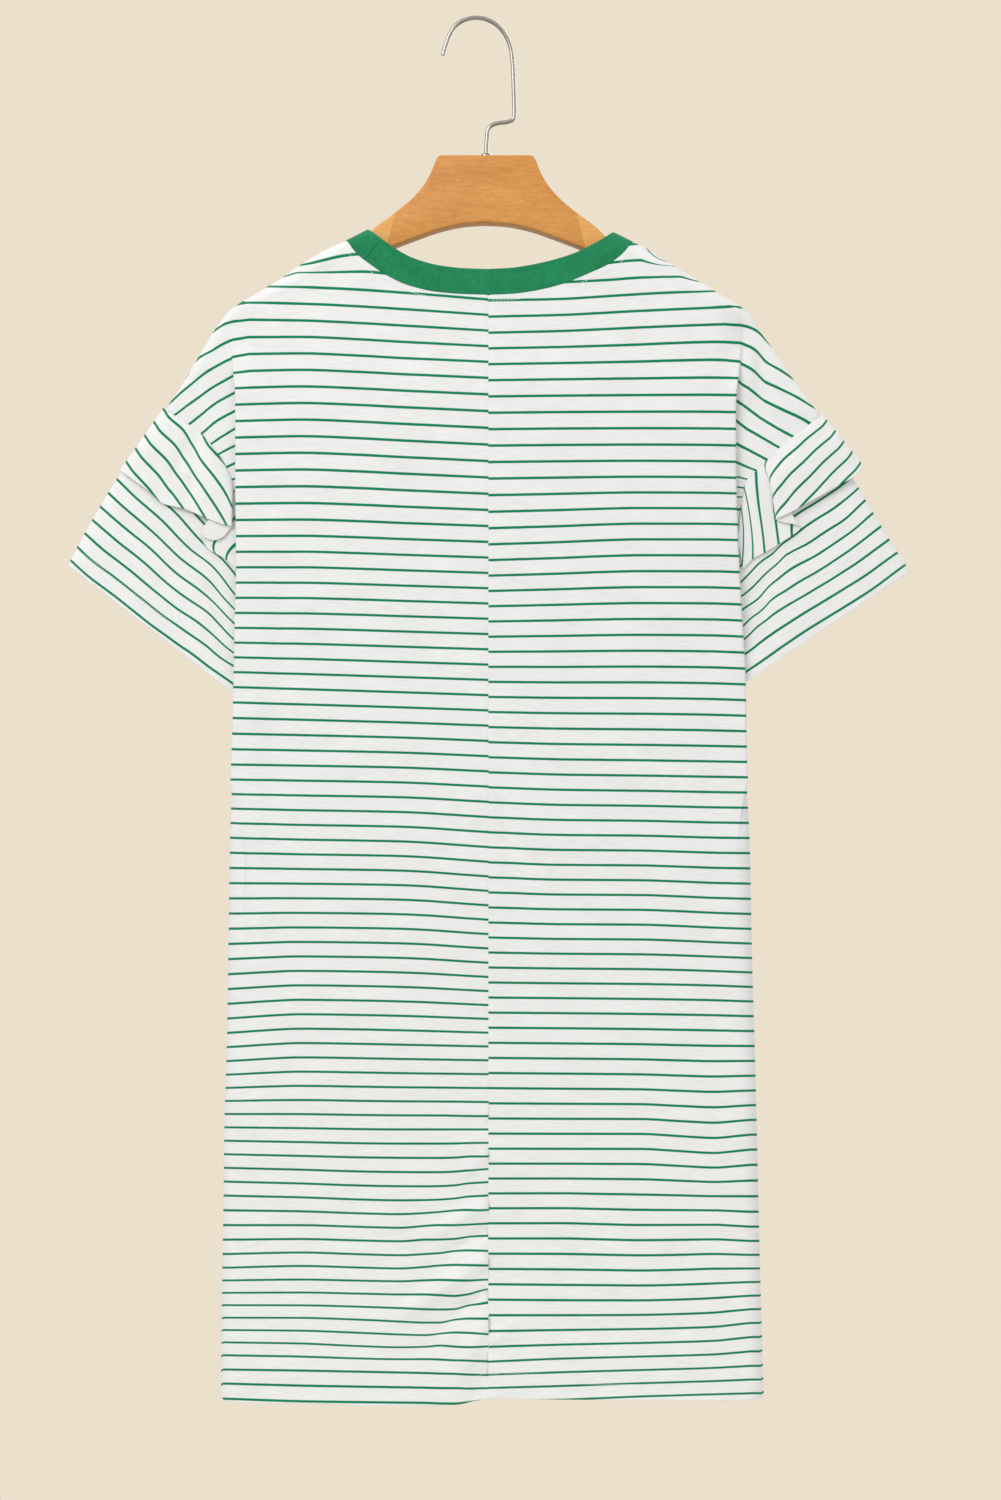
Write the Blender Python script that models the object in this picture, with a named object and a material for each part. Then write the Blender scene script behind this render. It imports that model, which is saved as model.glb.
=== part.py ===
"""T-shirt dress hanging on a wooden hanger, its back turned to -Y.

All sizes are in millimetres and are scaled to metres when a mesh is made. The origin is the underside of
the hook's crown. A "drop" is the distance below the origin, x runs across the garment, and a "depth" is the
distance from the garment's middle plane, y = 0. An "outward" distance is measured from the middle plane's
x = 0 towards the side in question, so that both sides use the same formulas.
"""

import math
from collections import namedtuple

import bmesh
import bpy
from mathutils import Vector

MM = 0.001

# Cloth
WELD = 0.001
SHARP_EDGE = math.radians(50)
JERSEY = 1.6
RUFFLE_JERSEY = 1.4
RIB = 2.2
SEAM_GAP = 0.3

# Garment
CENTRE_X = 8.0
UNDERARM_DROP = 450.0
FRONT_NECK_DROP = 277.0
FRONT_BAND_DROP = 258.0
FRONT_NECK_POWER = 2.2
FRONT_HEM_DROP = 1060.0

# The tuck: below the hanger's tip the body's edge folds back on itself over the drop shoulder
TURN_RADIUS = 2.1
SHELF_DEPTH = 4.6
SHOULDER_POINT_GAP = 0.6
SHOULDER_POINT_SPAN = 20.0
TUCKED_DROP = 280.0
RIDGE_WIDTH = 5.0
GUSSET_ROUNDING = 5.0
TURN_STEPS = 3
BODY_COLUMNS = 5
OUTER_COLUMNS = 3
MOST_ARM_SHARE = 0.2
MOST_TUCK_SHARE = 0.35
COLUMNS_PAST_BODY = 2 * TURN_STEPS + 1 + OUTER_COLUMNS

# Sleeve and ruffle
SLEEVE_DEPTH = 4.4
CUFF_DEPTH = 6.4
RUFFLE_LIFT = 2.1
RUFFLE_SEAM_DEPTH = 6.5
SHOULDER_ROUNDING = 13.0
UNDERARM_ROUNDING = 28.0
SEWN_OFFSET = 0.5
RISE_SPAN = 0.5
CUFF_FLARE_START = 0.4
CUFF_FLARE_SPAN = 0.5
UNDERARM_EASE = 2.0
UNDERARM_EASE_DROP = 400.0
UNDERARM_EASE_SPAN = 32.0
ARM_ROUNDING = 12.0
SLEEVE_STEPS = (0.0, 0.12, 0.3, 0.5, 0.75, 1.0)
RUFFLE_STEPS = (0.0, 0.12, 0.25, 0.4, 0.6, 0.8, 1.0)

# Hanger
HANGER_X = 6.0
HANGER_THICKNESS = 14.0
HANGER_BEVEL = 3.0
HANGER_BEVEL_STEPS = 2
HOOK_WIRE_RADIUS = 1.6
SHANK_HOLE_RADIUS = 1.9
SHANK_HOLE_BOTTOM = 127.0
SHANK_HOLE_SIDES = 16
SHANK_HOLE_OVERRUN = 5.0
FERRULE_RADIUS = 4.2
FERRULE_HEIGHT = 2.6
FERRULE_STEPS = 20
NECK_TOP_DROP = 105.6

Across = namedtuple("Across", "drop left right")
Level = namedtuple("Level", "drop half_depth shelf rounding")
Tuck = namedtuple("Tuck", "drop folded depth gusset")
Band = namedtuple("Band", "seam_x seam_drop top_x top_drop")
Hem = namedtuple("Hem", "x drop")
Wave = namedtuple("Wave", "seam_drop hem_x hem_drop hem_depth")
Sleeve = namedtuple("Sleeve", "shoulder_drop underarm_x cuff_outer cuff_inner bow")
Outline = namedtuple("Outline", "from_axis drop")
Place = namedtuple("Place", "x drop")
Ring = namedtuple("Ring", "radius height")

# Outer edge of the front and back: the shoulder fold down to the sleeve, then the armhole seam
EDGE = [
    Across(162.2, -84.7, 99.0),
    Across(170.2, -100.7, 116.0),
    Across(171.8, -104.3, 119.4),
    Across(177.0, -116.0, 130.0),
    Across(184.0, -128.5, 141.0),
    Across(192.0, -141.0, 153.5),
    Across(200.0, -152.0, 166.5),
    Across(206.5, -163.0, 177.5),
    Across(213.0, -173.5, 188.0),
    Across(218.0, -182.0, 196.5),
    Across(223.0, -190.0, 204.5),
    Across(229.0, -195.0, 210.0),
    Across(240.0, -203.0, 216.5),
    Across(255.0, -212.0, 227.5),
    Across(271.0, -221.5, 238.0),
    Across(286.0, -230.5, 248.5),
    Across(300.3, -240.6, 259.5),
    Across(305.4, -232.9, 263.3),
    Across(312.0, -222.4, 254.6),
    Across(320.0, -211.9, 244.1),
    Across(331.0, -202.4, 230.4),
    Across(347.0, -192.2, 214.4),
    Across(357.0, -188.4, 205.0),
    Across(365.0, -187.2, 203.4),
    Across(388.0, -184.6, 200.0),
    Across(412.0, -181.0, 196.5),
    Across(432.0, -175.5, 192.0),
    Across(450.0, -166.0, 184.0),
]

# Edge of the body itself, a hanging fold below the hanger's tip
BODY_EDGE = [
    Across(250.0, -189.5, 202.5),
    Across(262.0, -188.6, 201.6),
    Across(274.0, -187.3, 199.8),
    Across(286.0, -185.4, 198.4),
    Across(303.0, -185.1, 197.8),
    Across(363.0, -185.1, 198.8),
    Across(423.0, -184.8, 201.5),
    Across(454.0, -186.0, 203.2),
    Across(511.0, -186.7, 205.4),
    Across(562.0, -187.8, 205.4),
    Across(638.0, -190.0, 208.5),
    Across(791.0, -191.6, 210.8),
    Across(906.0, -193.9, 213.8),
    Across(1058.0, -197.0, 219.2),
]

# Half the garment's depth, the depth of the drop shoulder's cloth, and how far in the outer edge rounds off
LEVELS = [
    Level(162.2, 10.0, 10.0, 22.0),
    Level(213.0, 10.0, 10.0, 18.0),
    Level(226.0, 10.5, 7.0, 12.0),
    Level(249.0, 11.0, 4.6, 8.5),
    Level(286.0, 13.0, 4.6, 8.0),
    Level(540.0, 13.2, 13.2, 13.0),
    Level(1064.0, 15.0, 15.0, 14.0),
]

# How far the tuck is folded (0 is open), how deep it goes behind the body's edge, and how far it has become
# the gusset that closes at the side seam below the underarm
TUCKS = [
    Tuck(249.0, 0.0, 8.0, 0.0),
    Tuck(261.0, 0.35, 8.0, 0.0),
    Tuck(273.0, 0.75, 8.5, 0.0),
    Tuck(286.0, 1.0, 9.0, 0.0),
    Tuck(388.0, 1.0, 11.0, 0.0),
    Tuck(412.0, 1.0, 15.0, 0.0),
    Tuck(432.0, 1.0, 18.0, 0.5),
    Tuck(450.0, 1.0, 20.0, 1.0),
    Tuck(485.0, 1.0, 21.0, 1.0),
    Tuck(540.0, 1.0, 16.0, 1.0),
    Tuck(572.0, 0.66, 13.0, 1.0),
    Tuck(606.0, 0.3, 10.0, 1.0),
    Tuck(645.0, 0.0, 8.0, 1.0),
]

HEM = [
    Hem(-197.0, 1059.7),
    Hem(-82.0, 1064.0),
    Hem(-39.0, 1064.0),
    Hem(0.0, 1059.7),
    Hem(7.8, 1058.4),
    Hem(68.0, 1058.4),
    Hem(163.0, 1060.7),
    Hem(219.0, 1059.9),
]

# Neckband over the back, from each shoulder to the centre: its seam and its free top edge
BACK_BAND = {
    "left": [
        Band(-100.7, 170.2, -84.7, 162.2),
        Band(-92.2, 181.7, -77.5, 167.8),
        Band(-83.2, 188.9, -71.0, 172.6),
        Band(-70.0, 197.8, -60.5, 179.8),
        Band(-53.9, 205.4, -47.8, 186.0),
        Band(-32.0, 210.6, -29.0, 191.0),
        Band(-10.0, 212.4, -9.0, 193.2),
        Band(CENTRE_X, 212.9, CENTRE_X, 193.7),
    ],
    "right": [
        Band(118.4, 171.3, 103.3, 164.6),
        Band(110.3, 181.2, 97.0, 169.5),
        Band(99.8, 189.3, 88.3, 174.4),
        Band(85.1, 196.2, 76.0, 180.6),
        Band(63.1, 205.0, 57.8, 186.6),
        Band(42.0, 210.0, 39.0, 190.8),
        Band(25.0, 212.2, 24.0, 192.9),
        Band(CENTRE_X, 212.9, CENTRE_X, 193.7),
    ],
}
FRONT_NECK_STEPS = (0.0, 0.14, 0.31, 0.485, 0.64, 0.78, 0.9, 0.97, 1.0)

# Shares of the way from the shoulder to the next row where the neck's edge turns over the hanger
BAND_SHOULDER_SHARES = (0.05, 0.14, 0.32, 0.6)
PANEL_SHOULDER_SHARES = (0.1, 0.32, 0.6)

# Drops of the sections below each neckline
UPPER_SECTIONS = (224.0, 236.0, 249.0, 261.0, 273.0)
LOWER_SECTIONS = (
    286.0, 300.3, 305.4, 312.0, 320.0, 331.0, 347.0, 357.0, 365.0, 388.0, 412.0, 432.0, 450.0,
    485.0, 512.0, 540.0, 572.0, 606.0, 645.0, 740.0, 870.0, FRONT_HEM_DROP,
)

SLEEVES = {
    "left": Sleeve(300.3, -170.5, (-313.0, 424.5), (-175.5, 530.0), 3.0),
    "right": Sleeve(305.4, 188.5, (330.5, 425.5), (193.5, 518.5), -2.5),
}
SLEEVE_TURN_DROP = 1.2
SLEEVE_UNDERARM_DROP = 446.0

# Half of each ruffle, from the shoulder fold to the underarm: where it is sewn in, and its hem. Each hem
# doubles back once, where the depth falls from about 10 to 8 to 6.
RUFFLES = {
    "left": [
        Wave(300.3, -275.0, 346.2, 0.0),
        Wave(301.5, -273.0, 348.2, 4.5),
        Wave(304.5, -266.5, 353.0, 7.5),
        Wave(311.0, -251.8, 363.8, 8.6),
        Wave(318.5, -240.8, 373.0, 9.2),
        Wave(327.0, -224.8, 377.0, 9.6),
        Wave(338.0, -208.8, 383.8, 10.2),
        Wave(349.0, -195.0, 389.0, 10.4),
        Wave(356.0, -189.6, 390.2, 10.3),
        Wave(359.0, -188.0, 391.0, 9.4),
        Wave(362.0, -189.6, 392.0, 8.5),
        Wave(368.0, -206.5, 397.7, 8.5),
        Wave(371.0, -208.3, 399.2, 7.5),
        Wave(374.0, -206.5, 401.5, 6.5),
        Wave(386.0, -190.5, 417.8, 6.4),
        Wave(400.0, -184.7, 426.0, 6.4),
    ],
    "right": [
        Wave(305.4, 295.0, 344.2, 0.0),
        Wave(306.6, 293.5, 346.8, 4.5),
        Wave(309.5, 288.5, 352.0, 7.5),
        Wave(316.0, 278.0, 358.0, 8.6),
        Wave(323.0, 260.2, 368.1, 9.2),
        Wave(330.0, 247.0, 375.3, 9.8),
        Wave(335.0, 238.0, 380.5, 10.3),
        Wave(338.0, 229.6, 384.2, 10.3),
        Wave(339.6, 228.0, 385.2, 9.4),
        Wave(341.2, 229.6, 386.2, 8.5),
        Wave(344.5, 245.4, 390.0, 8.5),
        Wave(346.2, 247.0, 391.5, 7.5),
        Wave(348.0, 245.4, 393.6, 6.6),
        Wave(354.0, 230.4, 403.8, 6.5),
        Wave(364.0, 219.6, 410.4, 6.5),
        Wave(380.0, 210.5, 415.2, 6.4),
        Wave(400.0, 203.0, 423.0, 6.4),
    ],
}

# Wooden body of the hanger, from its axis outwards: the top edge with the tip's corner, then the lower edge
HANGER_TOP = [
    Outline(33.4, 105.6),
    Outline(35.6, 106.6),
    Outline(38.7, 110.8),
    Outline(42.4, 119.3),
    Outline(46.9, 127.3),
    Outline(54.1, 136.2),
    Outline(64.5, 145.6),
    Outline(76.0, 154.2),
    Outline(86.4, 162.2),
    Outline(90.4, 166.8),
    Outline(101.0, 172.4),
    Outline(111.0, 177.4),
    Outline(138.8, 190.6),
    Outline(163.5, 206.4),
    Outline(182.0, 218.8),
    Outline(186.5, 223.0),
    Outline(188.0, 229.0),
]
HANGER_LOWER = [
    Outline(188.0, 243.0),
    Outline(186.5, 248.5),
    Outline(182.5, 250.5),
    Outline(177.0, 247.5),
    Outline(158.0, 230.0),
    Outline(130.0, 208.5),
    Outline(100.0, 190.0),
    Outline(75.0, 177.2),
    Outline(55.0, 169.2),
    Outline(32.0, 161.4),
    Outline(14.0, 158.0),
    Outline(0.0, 157.2),
]

# Hook: the wire's centre from its tip over the crown and down its shank into the wood
HOOK_ROUTE = [
    Place(-27.2, 27.2),
    Place(-24.9, 19.3),
    Place(-21.0, 9.6),
    Place(-16.2, 3.4),
    Place(-9.0, -0.4),
    Place(0.0, -HOOK_WIRE_RADIUS),
    Place(9.3, 0.9),
    Place(16.8, 6.3),
    Place(21.8, 13.4),
    Place(25.1, 22.6),
    Place(26.4, 32.5),
    Place(27.6, 51.6),
    Place(27.9, 69.2),
    Place(27.2, 75.4),
    Place(24.4, 78.6),
    Place(16.8, 79.8),
    Place(10.4, 81.8),
    Place(7.2, 86.0),
    Place(6.3, 94.0),
    Place(HANGER_X, 105.0),
    Place(HANGER_X, 126.0),
]
HOOK_STEPS_PER_SPAN = 2

# Ferrule: half its section, from the shank's hole round the dome and back
FERRULE_PROFILE = [
    Ring(SHANK_HOLE_RADIUS, 0.0),
    Ring(FERRULE_RADIUS, 0.0),
    Ring(FERRULE_RADIUS, 0.8),
    Ring(3.5, 1.9),
    Ring(2.5, FERRULE_HEIGHT),
    Ring(SHANK_HOLE_RADIUS, FERRULE_HEIGHT),
]

SIGNS = {"left": -1, "right": 1}
BACK = -1
FRONT = 1

COTTON_WHITE = ("jersey", (0.82, 0.83, 0.81, 1.0), 0.9, 0.0)
GREEN_RIB = ("green_rib", (0.02, 0.25, 0.1, 1.0), 0.9, 0.0)
BEECH = ("beech", (0.56, 0.25, 0.08, 1.0), 0.45, 0.0)
STEEL = ("steel", (0.6, 0.6, 0.6, 1.0), 0.28, 1.0)


def smooth(share):
    """Ease from 0 to 1."""
    share = min(1.0, max(0.0, share))
    return share * share * (3 - 2 * share)


def arch(share):
    """Quarter circle from 0 to 1, level at its end."""
    share = min(1.0, max(0.0, share))
    return math.sqrt(1 - (1 - share) ** 2)


def mix(first, second, share):
    return first + (second - first) * share


def along(table, value, column, key="drop"):
    """One column of a table at a value of its key column, straight between rows."""
    if value <= getattr(table[0], key):
        return getattr(table[0], column)
    for before, after in zip(table, table[1:]):
        if value <= getattr(after, key):
            share = (value - getattr(before, key)) / (getattr(after, key) - getattr(before, key))
            return mix(getattr(before, column), getattr(after, column), share)
    return getattr(table[-1], column)


def edge_outward(side, drop):
    """Outward distance of the outer edge, which is the body's edge below the underarm."""
    table = EDGE if drop <= UNDERARM_DROP else BODY_EDGE
    return SIGNS[side] * along(table, drop, side)


def body_edge_outward(side, drop):
    return SIGNS[side] * along(BODY_EDGE, drop, side)


def armhole_rise(side, drop):
    """How far the cloth at the armhole seam has left the middle plane, from 0 to 1."""
    past_shoulder = arch((drop - SLEEVES[side].shoulder_drop) / SHOULDER_ROUNDING)
    before_underarm = arch((UNDERARM_DROP - drop) / UNDERARM_ROUNDING)
    return past_shoulder * before_underarm


def open_depth(side, drop, outward):
    """Depth of the cloth where no tuck is folded: it rounds off at the edge and passes over the hanger."""
    half_depth = along(LEVELS, drop, "half_depth")
    shelf = along(LEVELS, drop, "shelf")
    rounding = along(LEVELS, drop, "rounding")
    from_edge = edge_outward(side, drop) - outward
    over_arm = smooth((body_edge_outward(side, drop) + TURN_RADIUS - outward) / ARM_ROUNDING)
    return shelf * arch(from_edge / rounding) + (half_depth - shelf) * over_arm


def body_columns(start, end):
    """Outward places from start to the last one before end, which is where the cloth starts to round off."""
    last = end - min(ARM_ROUNDING, MOST_ARM_SHARE * (end - start))
    return [mix(start, last, column / (BODY_COLUMNS - 1)) for column in range(BODY_COLUMNS)]


def open_section(side, drop, start):
    """(outward, depth) points of a section with no tuck."""
    end = edge_outward(side, drop)
    tuck_room = max(along(LEVELS, drop, "rounding"), end - body_edge_outward(side, drop) + TURN_RADIUS)
    span = min(tuck_room, MOST_TUCK_SHARE * (end - start))
    points = []
    for outward in body_columns(start, end - span):
        points.append((outward, open_depth(side, drop, outward)))
    for column in range(COLUMNS_PAST_BODY + 1):
        outward = end - span * (1 - math.sin(math.pi / 2 * column / COLUMNS_PAST_BODY))
        points.append((outward, max(open_depth(side, drop, outward), SEAM_GAP / 2)))
    points[-2] = (end, points[-2][1])
    return points


def tucked_section(side, drop, start):
    """(outward, depth) points of a section whose edge turns back behind itself."""
    half_depth = along(LEVELS, drop, "half_depth")
    tuck = along(TUCKS, drop, "depth")
    edge = body_edge_outward(side, drop)
    inner = edge - tuck + TURN_RADIUS
    points = [(outward, half_depth) for outward in body_columns(start, edge - TURN_RADIUS)]
    for step in range(TURN_STEPS + 1):
        angle = math.pi * step / TURN_STEPS
        outward = edge - TURN_RADIUS * (1 - math.sin(angle))
        points.append((outward, half_depth - TURN_RADIUS * (1 - math.cos(angle))))
    if drop < UNDERARM_DROP:
        raised = armhole_rise(side, drop)
        gap = mix(SEAM_GAP / 2, SHOULDER_POINT_GAP, smooth((drop - TUCKED_DROP) / SHOULDER_POINT_SPAN))
        end = (edge_outward(side, drop), max(SHELF_DEPTH * raised, gap))
    else:
        raised = 0.0
        end = (edge - tuck, SEAM_GAP / 2)
    hairpin = hairpin_points(inner, half_depth, end, raised)
    gusset = gusset_points(inner, half_depth, end)
    share = along(TUCKS, drop, "gusset")
    return points + [
        (mix(first[0], second[0], share), mix(first[1], second[1], share))
        for first, second in zip(hairpin, gusset)
    ]


def hairpin_points(inner, half_depth, end, raised):
    """The tuck's inner turn, then the drop shoulder: upright at the shoulder fold, level once raised."""
    points = []
    for step in range(TURN_STEPS + 1):
        angle = math.pi * step / TURN_STEPS
        depth = half_depth - TURN_RADIUS * (3 - math.cos(angle))
        points.append((inner - TURN_RADIUS * math.sin(angle), depth))
    shelf = points[-1]
    for column in range(1, OUTER_COLUMNS):
        share = column / OUTER_COLUMNS
        near_edge = end[0] - RIDGE_WIDTH * (OUTER_COLUMNS - column)
        level = max(mix(shelf[0], end[0], share), near_edge)
        ridge = (end[0] - RIDGE_WIDTH, SHELF_DEPTH) if column == 1 else (end[0], SHELF_DEPTH / 2)
        points.append((mix(ridge[0], level, raised), mix(ridge[1], SHELF_DEPTH, raised)))
    points.append(end)
    return points


def gusset_points(inner, half_depth, end):
    """The tuck's inner layer, rounding off to the side seam."""
    start = (inner + GUSSET_ROUNDING - TURN_RADIUS, half_depth - 2 * TURN_RADIUS)
    steps = TURN_STEPS + OUTER_COLUMNS
    points = []
    for step in range(steps + 1):
        angle = math.pi / 2 * step / steps
        outward = mix(start[0], end[0], math.sin(angle))
        points.append((outward, mix(end[1], start[1], math.cos(angle))))
    points[-2] = (end[0], points[-2][1])
    return points


def section(side, face, drop, start_x):
    """World points of one half section, from start_x to the outer edge."""
    sign = SIGNS[side]
    start = sign * start_x
    folded = along(TUCKS, drop, "folded")
    opened = open_section(side, drop, start)
    tucked = tucked_section(side, drop, start) if folded > 0 else opened
    points = []
    for flat, fold in zip(opened, tucked):
        outward = mix(flat[0], fold[0], folded)
        points.append((sign * outward, face * mix(flat[1], fold[1], folded), -drop))
    return points


def front_band(side):
    """Rows of the neckband over the front, from the shoulder to the centre, as a deep round curve."""
    first = BACK_BAND[side][0]
    rows = []
    for step in FRONT_NECK_STEPS:
        width = math.sqrt(1 - step**FRONT_NECK_POWER)
        rows.append(
            Band(
                mix(CENTRE_X, first.seam_x, width),
                mix(first.seam_drop, FRONT_NECK_DROP, step),
                mix(CENTRE_X, first.top_x, width),
                mix(first.top_drop, FRONT_BAND_DROP, step),
            )
        )
    return rows


def over_shoulder(band, shares):
    """Rows part of the way from a band's first row to its second one."""
    first, second = band[0], band[1]
    return [Band(*(mix(start, end, share) for start, end in zip(first, second))) for share in shares]


def neck_starts(band):
    """(drop, x) of the sections that start at a neckline. The first one is a little below the shoulder."""
    rows = over_shoulder(band, PANEL_SHOULDER_SHARES) + band[1:]
    return [(row.seam_drop, row.seam_x) for row in rows]


def full_band(band):
    return band[:1] + over_shoulder(band, BAND_SHOULDER_SHARES) + band[1:]


def back_half(side):
    """Sections of one half of the back."""
    centre = CENTRE_X + SIGNS[side] * SEAM_GAP / 2
    starts = neck_starts(BACK_BAND[side])[:-1]
    starts.append((BACK_BAND[side][-1].seam_drop, centre))
    starts += [(drop, centre) for drop in UPPER_SECTIONS + LOWER_SECTIONS]
    rows = [section(side, BACK, drop, x) for drop, x in starts]
    rows[-1] = [(x, y, -along(HEM, x, "drop", key="x")) for x, y, z in rows[-1]]
    return rows


def front_half(side):
    """Sections of one half of the front, which meets the other half at the centre with no seam."""
    starts = neck_starts(front_band(side))
    starts += [(drop, CENTRE_X) for drop in LOWER_SECTIONS]
    return [section(side, FRONT, drop, x) for drop, x in starts]


def band_row(side, face, band):
    """The neckband's section at one place, from its seam to its top edge."""
    seam = Vector((band.seam_x, band.seam_drop))
    top = Vector((band.top_x, band.top_drop))
    seam += (top - seam).normalized() * SEAM_GAP
    row = []
    for share in (0.0, 0.5, 1.0):
        x, drop = seam.lerp(top, share)
        depth = open_depth(side, drop, SIGNS[side] * x)
        row.append((x, face * depth, -drop))
    return row


def neckband_rows():
    """Rows all round the neck: along the back from left to right, and along the front from right to left."""
    back_left = [band_row("left", BACK, band) for band in full_band(BACK_BAND["left"])]
    back_right = [band_row("right", BACK, band) for band in full_band(BACK_BAND["right"])[:-1]]
    front_right = [band_row("right", FRONT, band) for band in full_band(front_band("right"))[1:]]
    front_left = [band_row("left", FRONT, band) for band in full_band(front_band("left"))[1:-1]]
    return back_left + back_right[::-1] + front_right + front_left[::-1]


def armhole_point(side, drop):
    """(outward, drop) on the armhole seam, as a vector."""
    return Vector((SIGNS[side] * along(EDGE, drop, side), drop))


def sleeve_half(side):
    """(seam point, cuff point, seam depth, cuff depth) from the shoulder fold to the underarm."""
    sleeve = SLEEVES[side]
    sign = SIGNS[side]
    first_drops = [sleeve.shoulder_drop, sleeve.shoulder_drop + SLEEVE_TURN_DROP]
    drops = first_drops + [drop for drop in LOWER_SECTIONS if first_drops[1] < drop < SLEEVE_UNDERARM_DROP]
    seam = [armhole_point(side, drop) for drop in drops]
    rises = [armhole_rise(side, drop) for drop in drops]
    seam.append(Vector((sign * sleeve.underarm_x, SLEEVE_UNDERARM_DROP)))
    rises.append(0.0)
    lengths = [0.0]
    for before, after in zip(seam, seam[1:]):
        lengths.append(lengths[-1] + (after - before).length)
    outer = Vector((sign * sleeve.cuff_outer[0], sleeve.cuff_outer[1]))
    inner = Vector((sign * sleeve.cuff_inner[0], sleeve.cuff_inner[1]))
    cuff_length = (inner - outer).length
    stations = []
    for point, rise, length in zip(seam, rises, lengths):
        share = length / lengths[-1]
        from_end = min(share, 1 - share) * cuff_length
        cuff_rise = arch(from_end / SHOULDER_ROUNDING)
        stations.append((point, outer.lerp(inner, share), rise, cuff_rise))
    return stations


def sleeve_rings(side):
    """Closed rings of a sleeve, from the armhole seam to the cuff."""
    sign = SIGNS[side]
    stations = sleeve_half(side)
    rings = []
    for step in SLEEVE_STEPS:
        bow = 4 * step * (1 - step) * SLEEVES[side].bow
        depth = mix(SLEEVE_DEPTH, CUFF_DEPTH, smooth((step - CUFF_FLARE_START) / CUFF_FLARE_SPAN))
        half = []
        for index, (seam, cuff, seam_rise, cuff_rise) in enumerate(stations):
            ease = UNDERARM_EASE * smooth((seam.y - UNDERARM_EASE_DROP) / UNDERARM_EASE_SPAN)
            start = seam + (cuff - seam).normalized() * (SEWN_OFFSET + ease)
            point = start.lerp(cuff, step)
            point.x += bow * (1 - index / (len(stations) - 1))
            rise = mix(seam_rise, cuff_rise, smooth(step / RISE_SPAN))
            half.append((sign * point.x, depth * rise, -point.y))
        back = [(x, BACK * y, z) for x, y, z in half]
        front = [(x, FRONT * y, z) for x, y, z in half[1:-1]]
        rings.append(back + front[::-1])
    return rings


def ruffle_rows(side):
    """Rows of a ruffle from the back underarm over the shoulder fold to the front underarm."""
    sign = SIGNS[side]
    waves = RUFFLES[side]
    half = []
    for wave in waves:
        rise = armhole_rise(side, wave.seam_drop)
        seam = armhole_point(side, wave.seam_drop)
        hem = Vector((sign * wave.hem_x, wave.hem_drop))
        direction = (hem - seam).normalized()
        over_sleeve = Vector((direction.y, -direction.x)) * RUFFLE_LIFT * math.sqrt(1 - rise * rise)
        start = seam + direction * SEWN_OFFSET + over_sleeve
        row = []
        for step in RUFFLE_STEPS:
            point = start.lerp(hem, step)
            depth = mix(RUFFLE_SEAM_DEPTH * rise, wave.hem_depth, smooth(step / RISE_SPAN))
            row.append((sign * point.x, depth, -point.y))
        half.append(row)
    back = [[(x, BACK * y, z) for x, y, z in row] for row in half]
    front = [[(x, FRONT * y, z) for x, y, z in row] for row in half[1:]]
    return back[::-1] + front


def material_of(look):
    name, colour, roughness, metallic = look
    material = bpy.data.materials.get(name)
    if material is None:
        material = bpy.data.materials.new(name)
        material.use_nodes = True
        shader = material.node_tree.nodes["Principled BSDF"]
        shader.inputs["Base Color"].default_value = colour
        shader.inputs["Roughness"].default_value = roughness
        shader.inputs["Metallic"].default_value = metallic
    return material


def object_of(name, bm, look):
    """One object from a bmesh in millimetres, shaded smooth up to its real edges."""
    bmesh.ops.scale(bm, vec=(MM, MM, MM), verts=bm.verts)
    mesh = bpy.data.meshes.new(name)
    bm.to_mesh(mesh)
    bm.free()
    mesh.shade_smooth()
    mesh.set_sharp_from_angle(angle=SHARP_EDGE)
    mesh.materials.append(material_of(look))
    obj = bpy.data.objects.new(name, mesh)
    bpy.context.scene.collection.objects.link(obj)
    return obj


def add_sheet(bm, rows, ring=False):
    """Quads between neighbouring rows of points. In a ring each row also closes on itself."""
    grid = [[bm.verts.new(point) for point in row] for row in rows]
    for before, after in zip(grid, grid[1:]):
        columns = range(len(before) if ring else len(before) - 1)
        for column in columns:
            following = (column + 1) % len(before)
            bm.faces.new((before[column], after[column], after[following], before[following]))


def cloth(name, sheets, thickness, look, ring=False):
    """A cloth piece: its middle surface, thickened to both sides."""
    bm = bmesh.new()
    for rows in sheets:
        add_sheet(bm, rows, ring)
    bmesh.ops.remove_doubles(bm, verts=bm.verts, dist=WELD)
    bmesh.ops.recalc_face_normals(bm, faces=bm.faces)
    obj = object_of(name, bm, look)
    wall = obj.modifiers.new("wall", "SOLIDIFY")
    wall.thickness = thickness * MM
    wall.offset = 0.0
    return obj


def mirrored_outline(rows):
    """World (x, drop) points of a half outline and its mirror image about the hanger's axis."""
    right = [(HANGER_X + row.from_axis, row.drop) for row in rows]
    left = [(HANGER_X - row.from_axis, row.drop) for row in rows if row.from_axis > 0]
    return right + left[::-1]


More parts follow.
